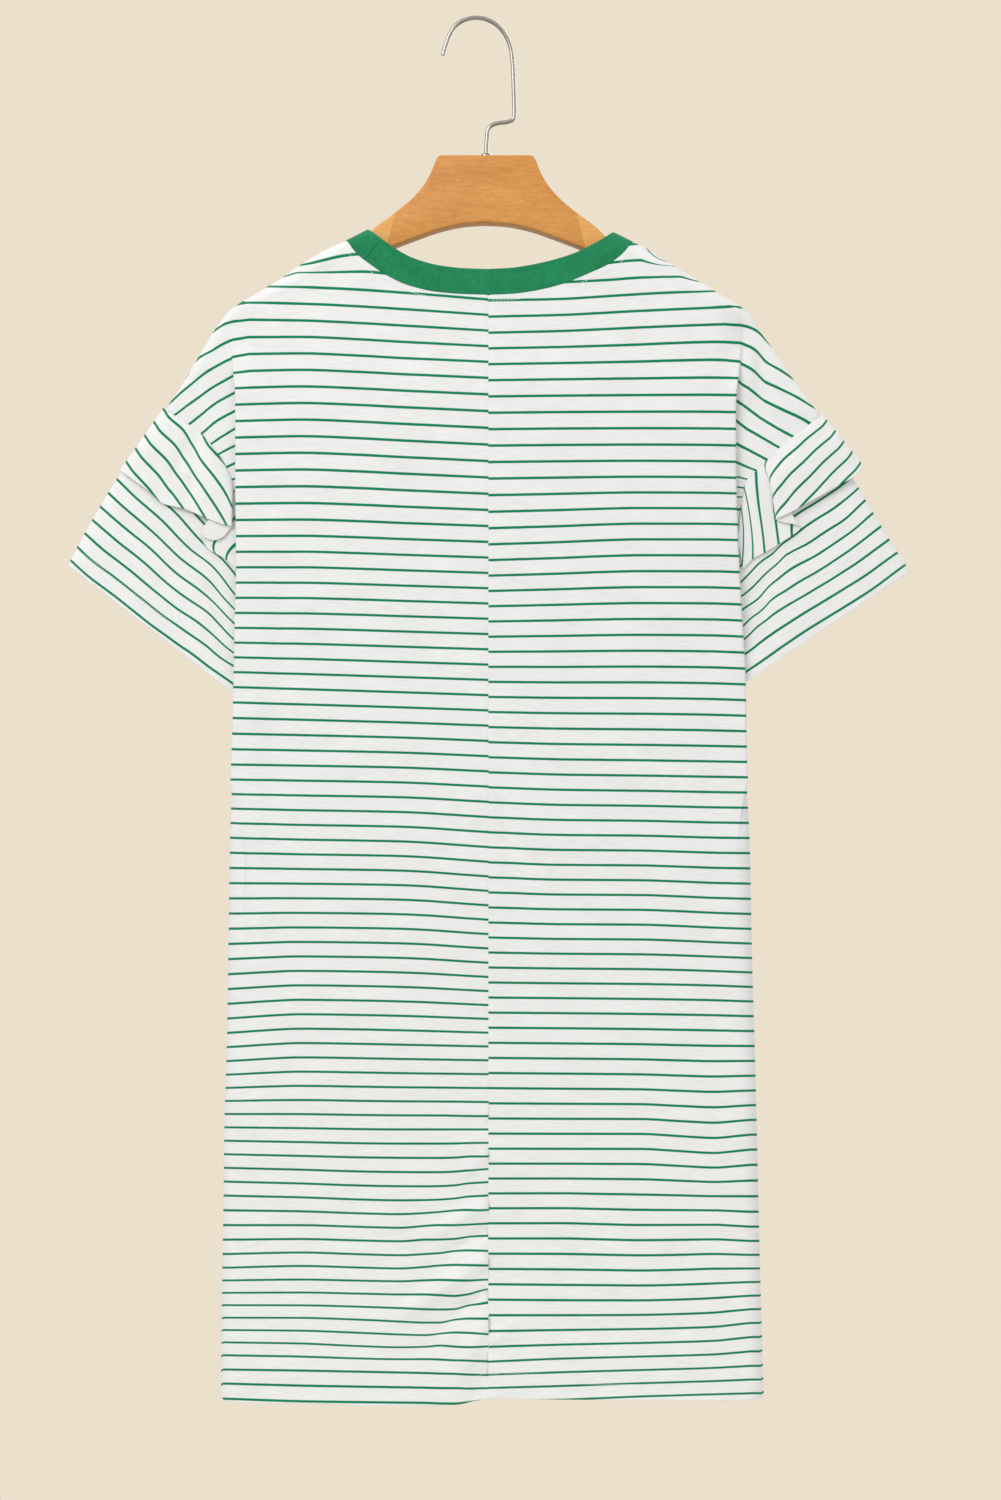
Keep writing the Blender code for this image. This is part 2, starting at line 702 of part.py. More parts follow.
def make_hanger_wood():
    """A flat shaped board with rounded edges and a blind hole for the hook's shank."""
    bm = bmesh.new()
    outline = mirrored_outline(HANGER_TOP + HANGER_LOWER)
    front = [bm.verts.new((x, -HANGER_THICKNESS / 2, -drop)) for x, drop in outline]
    board = bm.faces.new(front)
    grown = bmesh.ops.extrude_face_region(bm, geom=[board])
    moved = [item for item in grown["geom"] if isinstance(item, bmesh.types.BMVert)]
    bmesh.ops.translate(bm, vec=(0, HANGER_THICKNESS, 0), verts=moved)
    bmesh.ops.recalc_face_normals(bm, faces=bm.faces)
    rims = [edge for edge in bm.edges if edge.verts[0].co.y == edge.verts[1].co.y]
    bmesh.ops.bevel(
        bm,
        geom=rims,
        offset=HANGER_BEVEL,
        segments=HANGER_BEVEL_STEPS,
        profile=0.5,
        affect="EDGES",
    )
    wood = object_of("hanger_wood", bm, BEECH)
    hole = make_shank_hole()
    cut = wood.modifiers.new("shank_hole", "BOOLEAN")
    cut.operation = "DIFFERENCE"
    cut.object = hole
    return wood


def make_shank_hole():
    """The cutter for the shank's hole, which starts above the wood."""
    bm = bmesh.new()
    height = SHANK_HOLE_BOTTOM - NECK_TOP_DROP + SHANK_HOLE_OVERRUN
    bmesh.ops.create_cone(
        bm,
        cap_ends=True,
        segments=SHANK_HOLE_SIDES,
        radius1=SHANK_HOLE_RADIUS,
        radius2=SHANK_HOLE_RADIUS,
        depth=height,
    )
    bmesh.ops.translate(bm, vec=(HANGER_X, 0, height / 2 - SHANK_HOLE_BOTTOM), verts=bm.verts)
    cutter = object_of("shank_hole_cutter", bm, STEEL)
    cutter.hide_render = True
    cutter.display_type = "WIRE"
    return cutter


def smooth_route(points, steps):
    """A curve through the points, as a list of places a few steps apart."""
    padded = [points[0]] + points + [points[-1]]
    route = []
    for before, start, end, after in zip(padded, padded[1:], padded[2:], padded[3:]):
        for step in range(steps):
            share = step / steps
            pull_out = (end - before) / 2
            pull_in = (after - start) / 2
            cubic = 2 * (start - end) + pull_out + pull_in
            square = 3 * (end - start) - 2 * pull_out - pull_in
            route.append(start + pull_out * share + square * share**2 + cubic * share**3)
    return route + [points[-1]]


def make_hook():
    """Round steel wire with a cranked neck, all in the middle plane."""
    points = [Vector((place.x, 0, -place.drop)) for place in HOOK_ROUTE]
    route = smooth_route(points, HOOK_STEPS_PER_SPAN)
    curve = bpy.data.curves.new("hanger_hook", "CURVE")
    curve.dimensions = "3D"
    curve.bevel_depth = HOOK_WIRE_RADIUS * MM
    curve.bevel_resolution = 2
    curve.use_fill_caps = True
    spline = curve.splines.new("POLY")
    spline.points.add(len(route) - 1)
    for place, point in zip(spline.points, route):
        place.co = (*(point * MM), 1)
    curve.materials.append(material_of(STEEL))
    hook = bpy.data.objects.new("hanger_hook", curve)
    bpy.context.scene.collection.objects.link(hook)
    return hook


def make_ferrule():
    """A domed collar round the shank, just above the wood."""
    bm = bmesh.new()
    bottom = SEAM_GAP - NECK_TOP_DROP
    loop = [bm.verts.new((HANGER_X + ring.radius, 0, bottom + ring.height)) for ring in FERRULE_PROFILE]
    edges = [bm.edges.new((first, second)) for first, second in zip(loop, loop[1:] + loop[:1])]
    bmesh.ops.spin(
        bm,
        geom=edges,
        cent=(HANGER_X, 0, 0),
        axis=(0, 0, 1),
        angle=2 * math.pi,
        steps=FERRULE_STEPS,
        use_merge=True,
    )
    bmesh.ops.recalc_face_normals(bm, faces=bm.faces)
    return object_of("ferrule", bm, STEEL)


def main():
    for obj in list(bpy.data.objects):
        bpy.data.objects.remove(obj)
    for side in ("left", "right"):
        cloth("back_" + side, [back_half(side)], JERSEY, COTTON_WHITE)
        cloth("sleeve_" + side, [sleeve_rings(side)], JERSEY, COTTON_WHITE, ring=True)
        cloth("ruffle_" + side, [ruffle_rows(side)], RUFFLE_JERSEY, COTTON_WHITE)
    cloth("front", [front_half("left"), front_half("right")], JERSEY, COTTON_WHITE)
    band = neckband_rows()
    columns = [[row[column] for row in band] for column in range(len(band[0]))]
    cloth("neckband", [columns], RIB, GREEN_RIB, ring=True)
    make_hanger_wood()
    make_hook()
    make_ferrule()


main()
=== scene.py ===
"""T-shirt dress on a wooden hanger: the finished cloth, stitching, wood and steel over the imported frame.

Sizes in the tables are in millimetres. The origin is the underside of the hook's crown. A "drop" is the
distance below it, x runs across the garment, and a "depth" is the distance from the middle plane, y = 0.
An "outward" distance is measured from x = 0 towards the side in question. The back of the dress faces -Y.
"""

import math
from bisect import bisect_right
from collections import namedtuple

import bmesh
import bpy
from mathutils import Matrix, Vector


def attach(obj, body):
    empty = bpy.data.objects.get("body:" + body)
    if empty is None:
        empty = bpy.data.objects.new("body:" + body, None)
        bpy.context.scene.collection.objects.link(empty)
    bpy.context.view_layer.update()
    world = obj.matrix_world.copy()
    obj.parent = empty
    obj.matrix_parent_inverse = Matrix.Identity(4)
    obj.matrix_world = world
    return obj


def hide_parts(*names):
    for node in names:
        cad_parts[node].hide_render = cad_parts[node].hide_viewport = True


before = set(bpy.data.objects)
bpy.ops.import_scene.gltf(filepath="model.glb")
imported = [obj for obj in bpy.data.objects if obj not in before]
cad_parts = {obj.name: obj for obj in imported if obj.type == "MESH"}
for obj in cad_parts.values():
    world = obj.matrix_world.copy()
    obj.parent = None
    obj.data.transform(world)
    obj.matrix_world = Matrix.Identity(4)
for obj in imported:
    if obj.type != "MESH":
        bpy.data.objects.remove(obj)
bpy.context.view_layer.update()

bl_info = {
    "name": "T-shirt dress on a hanger",
    "version": (1, 0, 0),
    "blender": (4, 5, 0),
    "location": "View3D > Sidebar > Dress",
    "description": "Striped jersey dress with rib neckband and ruffled drop shoulders on a beech hanger",
    "category": "Object",
}

MM = 0.001
WELD = 1e-6

SIGNS = {"left": -1, "right": 1}
BACK = -1
FRONT = 1

# The garment
CENTRE_X = 8.0
UNDERARM_DROP = 450.0
FRONT_NECK_DROP = 277.0
FRONT_BAND_DROP = 258.0
FRONT_NECK_POWER = 2.2
FRONT_HEM_DROP = 1057.6
SEAM_HALF_GAP = 0.02

# The tuck: below the hanger's tip the body's edge folds back on itself over the drop shoulder
TURN_RADIUS = 2.1
SHELF_DEPTH = 4.6
RIDGE_WIDTH = 5.0
GUSSET_ROUNDING = 5.0
BODY_COLUMNS = 44
TURN_STEPS = 8
OUTER_COLUMNS = 20
COLUMNS_PAST_BODY = 2 * TURN_STEPS + 1 + OUTER_COLUMNS
MOST_ARM_SHARE = 0.2
TURNS_ROOM = 5.0
MOST_TUCK_SHARE = 0.35
ARM_ROUNDING = 12.0
ROW_SPACING = 5.0
FINE_ROW_SPACING = 2.6
PUCKERS_FROM = 820.0
HEM_BAND = 26.0
NECK_ROWS = 34
EDGE_MARGIN = 0.5

# Sleeve and ruffle
SLEEVE_DEPTH = 4.4
CUFF_DEPTH = 6.4
RUFFLE_LIFT = 2.1
RUFFLE_SEAM_DEPTH = 5.6
RUFFLE_BODY_DEPTH = 6.5
SHOULDER_ROUNDING = 13.0
UNDERARM_ROUNDING = 28.0
SEWN_OFFSET = 0.5
RISE_SPAN = 0.5
CUFF_FLARE_START = 0.4
CUFF_FLARE_SPAN = 0.5
UNDERARM_EASE = 2.0
UNDERARM_EASE_DROP = 400.0
UNDERARM_EASE_SPAN = 32.0
SLEEVE_UNDERARM_DROP = 446.0
SLEEVE_STATIONS = 48
SLEEVE_STEPS = 40
SLEEVE_LENGTH = 110.0
RUFFLE_STATIONS = 130
RUFFLE_STEPS = 22

# Centre back seam
GROOVE_DEPTH = 0.5
GROOVE_WIDTH = 0.8
SEAM_COLUMNS = (0.0, 0.35, 0.9, 1.8)
SEAM_ROOM = 12.0

# Neckband
BAND_STEPS = 10
BAND_ROWS = 54
BAND_JOIN = 22.0

# Stripes
STRIPE_PITCH = 11.65
STRIPE_PLANE = 9.0
STRIPES_RUN_ON = 12.0
SHOULDER_BLEND = 8.0
SHOULDER_BLEND_DROP = 208.0
SHOULDER_BLEND_SPAN = 12.0
OPEN_SHOULDER_END = 320.0
SHELF_BLEND_DROP = 345.0
SHELF_BLEND_SPAN = 30.0
SHELF_SHOWS_FROM = 4.0
FRONT_BLEND = 170.0
FRONT_EVEN_ABOVE = 228.0
FRONT_PITCH = 12.9

# Camera
CAMERA_X = 17.2
CAMERA_DROP = 561.5
CAMERA_DISTANCE = 1700.0
VIEW_HEIGHT = 1147.5

# Stitching
NECK_STITCH_OFFSET = 5.0
HEM_STITCH_OFFSETS = (12.0, 19.0)
CUFF_STITCH_OFFSETS = (9.4, 14.2)
STITCH_SIDES = 6

# Hanger
HANGER_X = 6.0
HANGER_THICKNESS = 14.0
HOOK_RADIUS = 1.6
FERRULE_RADIUS = 4.2
FERRULE_HEIGHT = 2.6
NECK_TOP_DROP = 105.6

Across = namedtuple("Across", "drop left right")
Level = namedtuple("Level", "drop half_depth shelf rounding")
Tuck = namedtuple("Tuck", "drop folded depth gusset")
Band = namedtuple("Band", "seam_x seam_drop top_x top_drop")
Hem = namedtuple("Hem", "x drop")
Wave = namedtuple("Wave", "seam_drop hem_x hem_drop hem_depth seam_stripe hem_stripe bow")
Sleeve = namedtuple("Sleeve", "shoulder_drop underarm_x cuff_outer cuff_inner bow")
Outline = namedtuple("Outline", "from_axis drop")
Place = namedtuple("Place", "x drop")
Crease = namedtuple("Crease", "x1 drop1 x2 drop2 width height fade")
Stripes = namedtuple("Stripes", "across rows")
Cut = namedtuple("Cut", "width length area")

# Outer edge of the front and back: the shoulder fold down to the sleeve, then the armhole seam
EDGE = (
    Across(162.2, -84.7, 99.0),
    Across(170.2, -100.7, 116.0),
    Across(171.8, -104.3, 119.4),
    Across(177.0, -116.0, 130.0),
    Across(184.0, -128.5, 141.0),
    Across(192.0, -141.0, 153.5),
    Across(200.0, -152.0, 166.5),
    Across(206.5, -163.0, 177.5),
    Across(213.0, -173.5, 188.0),
    Across(218.0, -182.0, 196.5),
    Across(223.0, -190.0, 204.5),
    Across(229.0, -195.0, 210.0),
    Across(240.0, -203.0, 216.5),
    Across(255.0, -212.0, 227.5),
    Across(271.0, -221.5, 238.0),
    Across(286.0, -230.5, 248.5),
    Across(300.3, -240.6, 259.5),
    Across(305.4, -232.9, 263.3),
    Across(312.0, -222.4, 254.6),
    Across(320.0, -211.9, 244.1),
    Across(331.0, -202.4, 230.4),
    Across(347.0, -192.2, 214.4),
    Across(357.0, -188.4, 205.0),
    Across(365.0, -187.2, 203.4),
    Across(388.0, -184.6, 200.0),
    Across(412.0, -181.0, 196.5),
    Across(432.0, -175.5, 192.0),
    Across(450.0, -166.0, 184.0),
)

# Edge of the body itself, a hanging fold below the hanger's tip
BODY_EDGE = (
    Across(250.0, -189.5, 202.5),
    Across(262.0, -188.6, 201.6),
    Across(274.0, -187.3, 199.8),
    Across(286.0, -185.4, 197.6),
    Across(303.0, -185.1, 196.7),
    Across(363.0, -185.0, 197.2),
    Across(423.0, -184.4, 199.4),
    Across(454.0, -185.3, 201.1),
    Across(511.0, -186.5, 204.3),
    Across(562.0, -187.8, 205.0),
    Across(638.0, -190.5, 208.6),
    Across(715.0, -191.6, 210.1),
    Across(791.0, -192.8, 212.3),
    Across(850.0, -194.7, 213.8),
    Across(906.0, -195.3, 215.1),
    Across(980.0, -196.5, 216.9),
    Across(1058.0, -197.2, 219.2),
)

# Half the garment's depth, the depth of the drop shoulder's cloth, and how far in the outer edge rounds off
LEVELS = (
    Level(162.2, 10.0, 10.0, 22.0),
    Level(213.0, 10.0, 10.0, 18.0),
    Level(226.0, 10.5, 7.0, 12.0),
    Level(249.0, 11.0, 4.6, 8.5),
    Level(286.0, 13.0, 4.6, 8.0),
    Level(540.0, 13.2, 13.2, 13.0),
    Level(1064.0, 15.0, 15.0, 14.0),
)

# How far the tuck is folded (0 is open), how deep it goes behind the body's edge, and how far it has become
# the gusset that closes at the side seam below the underarm
TUCKS = (
    Tuck(252.0, 0.0, 8.0, 0.0),
    Tuck(264.0, 0.2, 8.0, 0.0),
    Tuck(277.0, 0.65, 8.5, 0.0),
    Tuck(290.0, 1.0, 9.0, 0.0),
    Tuck(388.0, 1.0, 11.0, 0.0),
    Tuck(412.0, 1.0, 15.0, 0.0),
    Tuck(432.0, 1.0, 18.0, 0.5),
    Tuck(450.0, 1.0, 20.0, 1.0),
    Tuck(485.0, 1.0, 21.0, 1.0),
    Tuck(540.0, 1.0, 16.0, 1.0),
    Tuck(572.0, 0.66, 13.0, 1.0),
    Tuck(606.0, 0.3, 10.0, 1.0),
    Tuck(645.0, 0.0, 8.0, 1.0),
)

HEM = (
    Hem(-197.0, 1058.3),
    Hem(-140.0, 1059.8),
    Hem(-109.0, 1060.1),
    Hem(-82.0, 1061.3),
    Hem(-39.0, 1061.3),
    Hem(-17.0, 1060.5),
    Hem(0.0, 1057.5),
    Hem(7.8, 1055.8),
    Hem(68.0, 1056.6),
    Hem(163.0, 1057.3),
    Hem(219.0, 1056.8),
)

# Neckband over the back, from each shoulder to the centre: its seam and its free top edge
BACK_BAND = {
    "left": (
        Band(-100.7, 170.2, -84.7, 162.2),
        Band(-92.2, 181.7, -77.5, 167.8),
        Band(-83.2, 188.9, -71.0, 172.6),
        Band(-70.0, 197.8, -60.5, 179.8),
        Band(-53.9, 205.4, -47.8, 186.0),
        Band(-32.0, 210.6, -29.0, 191.0),
        Band(-10.0, 212.4, -9.0, 193.2),
        Band(CENTRE_X, 212.9, CENTRE_X, 193.7),
    ),
    "right": (
        Band(118.4, 171.3, 103.3, 164.6),
        Band(110.3, 181.2, 97.0, 169.5),
        Band(99.8, 189.3, 88.3, 174.4),
        Band(85.1, 196.2, 76.0, 180.6),
        Band(63.1, 205.0, 57.8, 186.6),
        Band(42.0, 210.0, 39.0, 190.8),
        Band(25.0, 212.2, 24.0, 192.9),
        Band(CENTRE_X, 212.9, CENTRE_X, 193.7),
    ),
}

SLEEVES = {
    "left": Sleeve(300.3, -170.5, (-315.1, 419.6), (-174.2, 528.2), 4.0),
    "right": Sleeve(305.4, 188.5, (331.8, 424.3), (192.9, 517.5), -2.5),
}

# Half of each ruffle, from the shoulder fold to the underarm: where it is sewn in, its hem, the number of the
# stripe that each end of the row lies on, and how far the row bows outward. Each hem doubles back once,
# where the depth falls from 10 to 6.
RUFFLES = {
    "left": (
        Wave(300.3, -275.0, 346.2, 0.0, -0.05, 4.65, 0.0),
        Wave(301.5, -273.0, 348.2, 4.5, -0.10, 4.60, 0.0),
        Wave(304.5, -266.5, 353.0, 6.8, -0.30, 4.40, 0.0),
        Wave(311.0, -251.8, 363.8, 7.3, -0.45, 4.10, 0.0),
        Wave(318.5, -240.8, 373.0, 7.6, -0.90, 3.85, 0.0),
        Wave(327.0, -224.8, 377.0, 8.2, -1.20, 2.95, 0.0),
        Wave(338.0, -208.8, 383.8, 9.4, -1.05, 2.00, 0.0),
        Wave(349.0, -195.0, 389.0, 10.4, -0.90, 1.20, 0.0),
        Wave(356.0, -189.6, 390.2, 10.3, -0.85, 0.80, 0.0),
        Wave(359.0, -188.0, 391.0, 9.4, -0.90, 0.72, 0.0),
        Wave(362.0, -189.6, 392.0, 8.5, -0.85, 0.62, 0.5),
        Wave(364.0, -194.6, 398.2, 8.5, -0.80, 0.50, 2.5),
        Wave(366.0, -202.7, 401.2, 8.5, -0.75, 0.42, 5.5),
        Wave(368.0, -207.8, 399.6, 8.5, -0.70, 0.36, 7.6),
        Wave(371.0, -208.9, 398.9, 7.5, -0.62, 0.30, 7.6),
        Wave(374.0, -208.8, 403.5, 6.5, -0.65, 0.10, 7.6),
        Wave(386.0, -190.5, 417.8, 6.4, -1.20, -2.30, 2.0),
        Wave(400.0, -184.7, 426.0, 6.4, -1.86, -3.10, 0.0),
    ),
    "right": (
        Wave(305.4, 296.2, 342.6, 0.0, -0.55, 4.35, 0.0),
        Wave(306.6, 294.7, 345.4, 4.5, -0.60, 4.35, 0.0),
        Wave(309.5, 288.5, 352.0, 7.5, -0.70, 4.30, 0.0),
        Wave(316.0, 278.0, 358.0, 8.6, -0.70, 4.00, 0.0),
        Wave(323.0, 260.2, 368.1, 9.2, -0.75, 3.40, 0.0),
        Wave(330.0, 247.0, 375.3, 9.8, -0.75, 3.00, 0.0),
        Wave(335.0, 238.0, 380.5, 10.3, -0.80, 2.65, 0.0),
        Wave(338.0, 229.6, 384.2, 10.3, -0.90, 2.30, 0.0),
        Wave(339.6, 228.0, 385.2, 9.4, -1.00, 2.15, 0.0),
        Wave(341.2, 229.6, 386.2, 8.5, -1.10, 1.90, 0.0),
        Wave(344.5, 245.4, 390.0, 8.5, -1.50, 0.80, 0.0),
        Wave(346.2, 247.0, 391.5, 7.5, -1.80, 0.40, 0.0),
        Wave(348.0, 245.4, 393.6, 6.6, -2.00, 0.35, 0.0),
        Wave(354.0, 230.4, 403.8, 6.5, -2.50, -1.00, 0.0),
        Wave(364.0, 219.6, 410.4, 6.5, -3.25, -2.00, 0.0),
        Wave(380.0, 210.5, 415.2, 6.4, -4.25, -3.00, 0.0),
        Wave(400.0, 203.0, 423.0, 6.4, -5.00, -3.80, 0.0),
    ),
}

# Drop of each stripe at a few places across the back, as charted. Each block of rows has its own places.
BACK_STRIPES = {
    "left": (
        Stripes(
            (-180.2, -159.5, -135.8, -89.9, -59.3, 0.4),
            (
                (-3, 192.0, 184.0, 176.0, 168.0, 170.3, 176.2),
                (-2, 205.0, 198.0, 191.2, 182.4, 183.9, 189.4),
                (-1, 208.5, 201.5, 196.4, 195.7, 198.3, 202.8),
            ),
        ),
        Stripes((-180.2, -159.5, -135.8, -59.3, 0.4), ((0, 212.5, 207.3, 207.5, 211.7, 216.6),)),
        Stripes(
            (-180.2, -135.8, -59.3, 0.4),
            (
                (1, 219.5, 220.2, 224.3, 228.3),
                (2, 232.5, 233.1, 236.9, 240.4),
                (3, 245.9, 245.7, 249.4, 252.4),
                (4, 258.9, 258.3, 261.8, 264.4),
                (5, 271.9, 270.9, 274.1, 276.7),
                (10, 335.1, 334.3, 337.5, 340.3),
                (15, 398.0, 397.8, 400.2, 402.2),
                (20, 456.8, 457.1, 459.2, 461.0),
                (25, 513.7, 515.0, 517.4, 519.4),
                (30, 572.8, 573.5, 575.0, 577.6),
                (35, 629.0, 630.1, 631.5, 635.3),
                (40, 686.6, 686.2, 687.2, 690.9),
                (45, 743.8, 741.6, 742.8, 745.6),
                (50, 798.9, 796.7, 797.9, 798.8),
                (55, 850.3, 850.8, 851.8, 851.8),
            ),
        ),
        Stripes(
            (-180.2, -135.8, -59.3, -40.2, -28.7, -18.0, -7.3, 0.4),
            (
                (60, 902.7, 903.7, 906.0, 905.8, 905.4, 904.6, 903.1, 902.7),
                (61, 913.8, 914.4, 916.6, 915.7, 914.8, 913.7, 913.0, 913.0),
                (62, 925.0, 925.0, 927.0, 925.5, 924.7, 924.4, 924.4, 924.1),
                (63, 936.0, 935.6, 937.3, 936.0, 935.8, 935.5, 934.1, 933.8),
                (64, 946.8, 945.9, 948.0, 947.1, 946.3, 944.8, 944.4, 944.6),
                (65, 957.2, 956.2, 958.1, 956.9, 955.8, 955.5, 955.7, 955.7),
                (66, 967.1, 966.6, 967.9, 967.2, 967.0, 967.2, 967.2, 966.9),
                (67, 976.7, 976.5, 978.0, 978.1, 978.5, 979.1, 977.7, 975.4),
                (68, 986.2, 986.3, 988.5, 989.2, 989.5, 989.1, 986.4, 985.5),
                (69, 995.8, 995.9, 998.7, 999.5, 999.4, 997.4, 996.5, 996.6),
                (70, 1005.3, 1005.7, 1008.6, 1009.1, 1007.9, 1007.1, 1007.4, 1007.9),
                (71, 1014.8, 1015.5, 1018.4, 1018.0, 1017.1, 1017.9, 1018.4, 1018.0),
                (72, 1024.7, 1025.5, 1027.5, 1027.5, 1027.8, 1028.4, 1028.6, 1028.9),
                (73, 1035.6, 1036.2, 1037.7, 1038.1, 1038.5, 1038.7, 1039.2, 1039.4),
                (74, 1046.5, 1047.7, 1049.0, 1049.3, 1049.6, 1049.6, 1049.9, 1049.8),
                (75, 1058.2, 1059.7, 1060.7, 1060.9, 1061.4, 1061.5, 1060.3, 1059.4),
            ),
        ),
    ),
    "right": (
        Stripes(
            (15.7, 63.1, 93.7, 124.3, 153.4, 181.7, 196.2),
            (
                (-3, 181.5, 179.8, 177.8, 174.7, 190.1, 201.0, 207.5),
                (-2, 193.2, 191.4, 189.6, 187.0, 192.0, 203.0, 209.5),
                (-1, 205.3, 203.9, 202.4, 200.3, 199.7, 205.4, 211.5),
            ),
        ),
        Stripes((15.7, 63.1, 124.3, 181.7, 196.2), ((0, 217.6, 216.7, 212.8, 210.9, 214.5),)),
        Stripes(
            (15.7, 63.1, 124.3, 181.7, 196.2),
            (
                (1, 230.0, 228.9, 225.7, 223.2, 222.4),
                (2, 242.3, 241.2, 238.4, 236.2, 235.8),
                (3, 254.3, 253.4, 251.5, 249.5, 249.5),
                (5, 278.7, 278.1, 277.4, 276.8, 276.9),
                (10, 341.3, 340.8, 340.4, 340.8, 341.2),
                (15, 404.1, 402.6, 400.5, 400.6, 401.0),
                (20, 463.2, 462.4, 461.4, 461.8, 462.4),
                (25, 521.1, 521.7, 521.9, 522.7, 523.2),
                (30, 578.9, 580.4, 581.2, 582.2, 582.4),
                (35, 636.3, 638.0, 638.5, 640.2, 640.4),
                (40, 693.7, 694.8, 695.2, 697.5, 698.0),
                (45, 751.0, 751.4, 752.0, 753.0, 753.5),
                (50, 808.7, 809.1, 809.7, 811.3, 811.0),
                (55, 866.5, 866.6, 866.7, 869.8, 868.4),
                (60, 923.6, 923.5, 924.9, 924.7, 925.5),
                (65, 982.0, 982.4, 982.5, 980.7, 979.7),
                (66, 993.9, 993.9, 993.6, 991.8, 990.4),
                (67, 1006.0, 1005.2, 1004.4, 1002.7, 1001.1),
                (68, 1017.8, 1016.4, 1015.1, 1013.4, 1011.9),
                (69, 1029.1, 1027.1, 1025.5, 1023.8, 1022.6),
                (70, 1039.1, 1037.5, 1035.8, 1034.1, 1033.3),
                (71, 1049.3, 1048.0, 1045.9, 1044.2, 1043.6),
            ),
        ),
    ),
}

# Drop of each stripe round the drop shoulders, from the body's edge to the armhole, as charted
SHOULDER_STRIPES = {
    "left": Stripes(
        (-235.2, -223.8, -212.3, -200.8, -193.2, -185.5, -180.2),
        (
            (0, 255.0, 243.0, 232.0, 223.0, 217.0, 214.5, 212.5),
            (1, 265.1, 252.8, 241.4, 231.4, 225.5, 221.3, 219.5),
            (2, 273.5, 262.0, 251.3, 240.6, 235.6, 233.5, 232.5),
            (3, 283.4, 272.0, 261.1, 254.6, 250.3, 247.3, 245.9),
            (4, 296.4, 285.3, 276.0, 268.5, 264.3, 260.8, 258.9),
            (5, 307.1, 299.0, 291.0, 283.0, 278.8, 274.6, 271.9),
            (6, 323.2, 314.8, 305.8, 296.4, 292.1, 288.0, 285.0),
            (7, 339.3, 330.1, 320.4, 310.6, 306.1, 302.2, 299.5),
            (8, 351.5, 342.3, 333.2, 325.3, 320.4, 315.6, 312.5),
            (9, 362.2, 353.0, 343.9, 336.6, 332.4, 328.6, 326.0),
            (10, 375.2, 366.1, 357.6, 350.0, 345.8, 342.0, 339.5),
        ),
    ),
    "right": Stripes(
        (196.2, 198.5, 204.6, 212.3, 219.9, 231.4, 246.7, 258.2),
        (
            (0, 214.5, 214.5, 217.0, 222.0, 228.0, 239.0, 252.0, 262.0),
            (1, 222.4, 222.9, 223.8, 229.1, 236.0, 246.7, 260.5, 271.2),
            (2, 235.8, 236.5, 237.5, 240.6, 248.2, 259.7, 272.0, 281.9),
            (3, 249.5, 249.8, 251.9, 256.1, 264.0, 271.1, 281.9, 291.8),
            (4, 263.3, 264.5, 268.0, 272.7, 280.1, 285.5, 293.1, 300.6),
            (5, 276.9, 279.8, 283.7, 289.0, 294.9, 300.6, 307.6, 314.0),
            (6, 293.5, 294.9, 299.3, 304.9, 310.2, 317.1, 325.5, 332.4),
            (7, 308.5, 310.4, 315.4, 319.8, 324.2, 330.8, 339.3, 346.2),
            (8, 327.0, 328.0, 331.0, 335.1, 339.1, 345.4, 353.8, 360.7),
            (9, 341.0, 342.0, 344.6, 348.2, 351.5, 357.6, 366.1, 372.9),
            (10, 353.5, 354.6, 357.6, 361.5, 365.3, 370.6, 379.1, 385.9),
        ),
    ),
}

# Drop of each stripe across the sleeves, from the ruffle to the cuff
SLEEVE_STRIPES = {
    "left": Stripes(
        (-312.4, -297.0, -274.5, -252.1, -229.6, -207.2, -187.5),
        (
            (-8, 286.0, 304.0, 324.0, 347.0, 367.0, 391.0, 410.0),
            (-7, 302.0, 320.0, 340.0, 362.3, 381.9, 406.1, 425.1),
            (-6, 320.0, 336.0, 356.1, 376.9, 398.8, 417.6, 440.8),
            (-5, 337.0, 352.0, 372.8, 392.0, 413.3, 430.7, 452.6),
            (-4, 354.0, 368.0, 388.1, 406.3, 427.4, 444.2, 463.8),
            (-3, 370.0, 383.8, 403.2, 421.2, 440.6, 456.1, 476.4),
            (-2, 386.0, 399.2, 417.8, 436.1, 454.0, 469.7, 486.9),
            (-1, 400.5, 415.4, 432.2, 450.0, 466.7, 482.4, 497.0),
            (0, 415.6, 429.6, 446.5, 464.4, 480.7, 497.0, 510.8),
            (1, 430.0, 443.5, 461.0, 478.5, 494.5, 511.0, 525.0),
        ),
    ),
    "right": Stripes(
        (203.9, 214.7, 225.4, 236.1, 257.6, 279.1, 300.5, 322.0),
        (
            (-7, 417.5, 406.7, 398.2, 387.4, 372.9, 358.4, 339.1, 322.0),
            (-6, 430.4, 419.1, 411.4, 401.4, 385.8, 371.5, 352.5, 336.0),
            (-5, 442.2, 432.2, 422.1, 412.1, 400.3, 386.3, 366.8, 350.4),
            (-4, 452.9, 445.6, 434.1, 425.5, 413.4, 399.2, 381.8, 365.4),
            (-3, 465.6, 456.7, 446.1, 439.3, 426.3, 412.4, 396.5, 380.1),
            (-2, 476.5, 466.5, 458.3, 451.3, 438.7, 425.5, 410.8, 394.9),
            (-1, 488.5, 480.5, 472.5, 465.5, 452.0, 438.9, 425.3, 409.7),
            (0, 502.5, 495.3, 487.8, 480.3, 466.1, 452.9, 439.3, 423.4),
            (1, 516.0, 509.0, 502.0, 494.5, 480.0, 467.0, 453.5, 437.5),
        ),
    ),
}

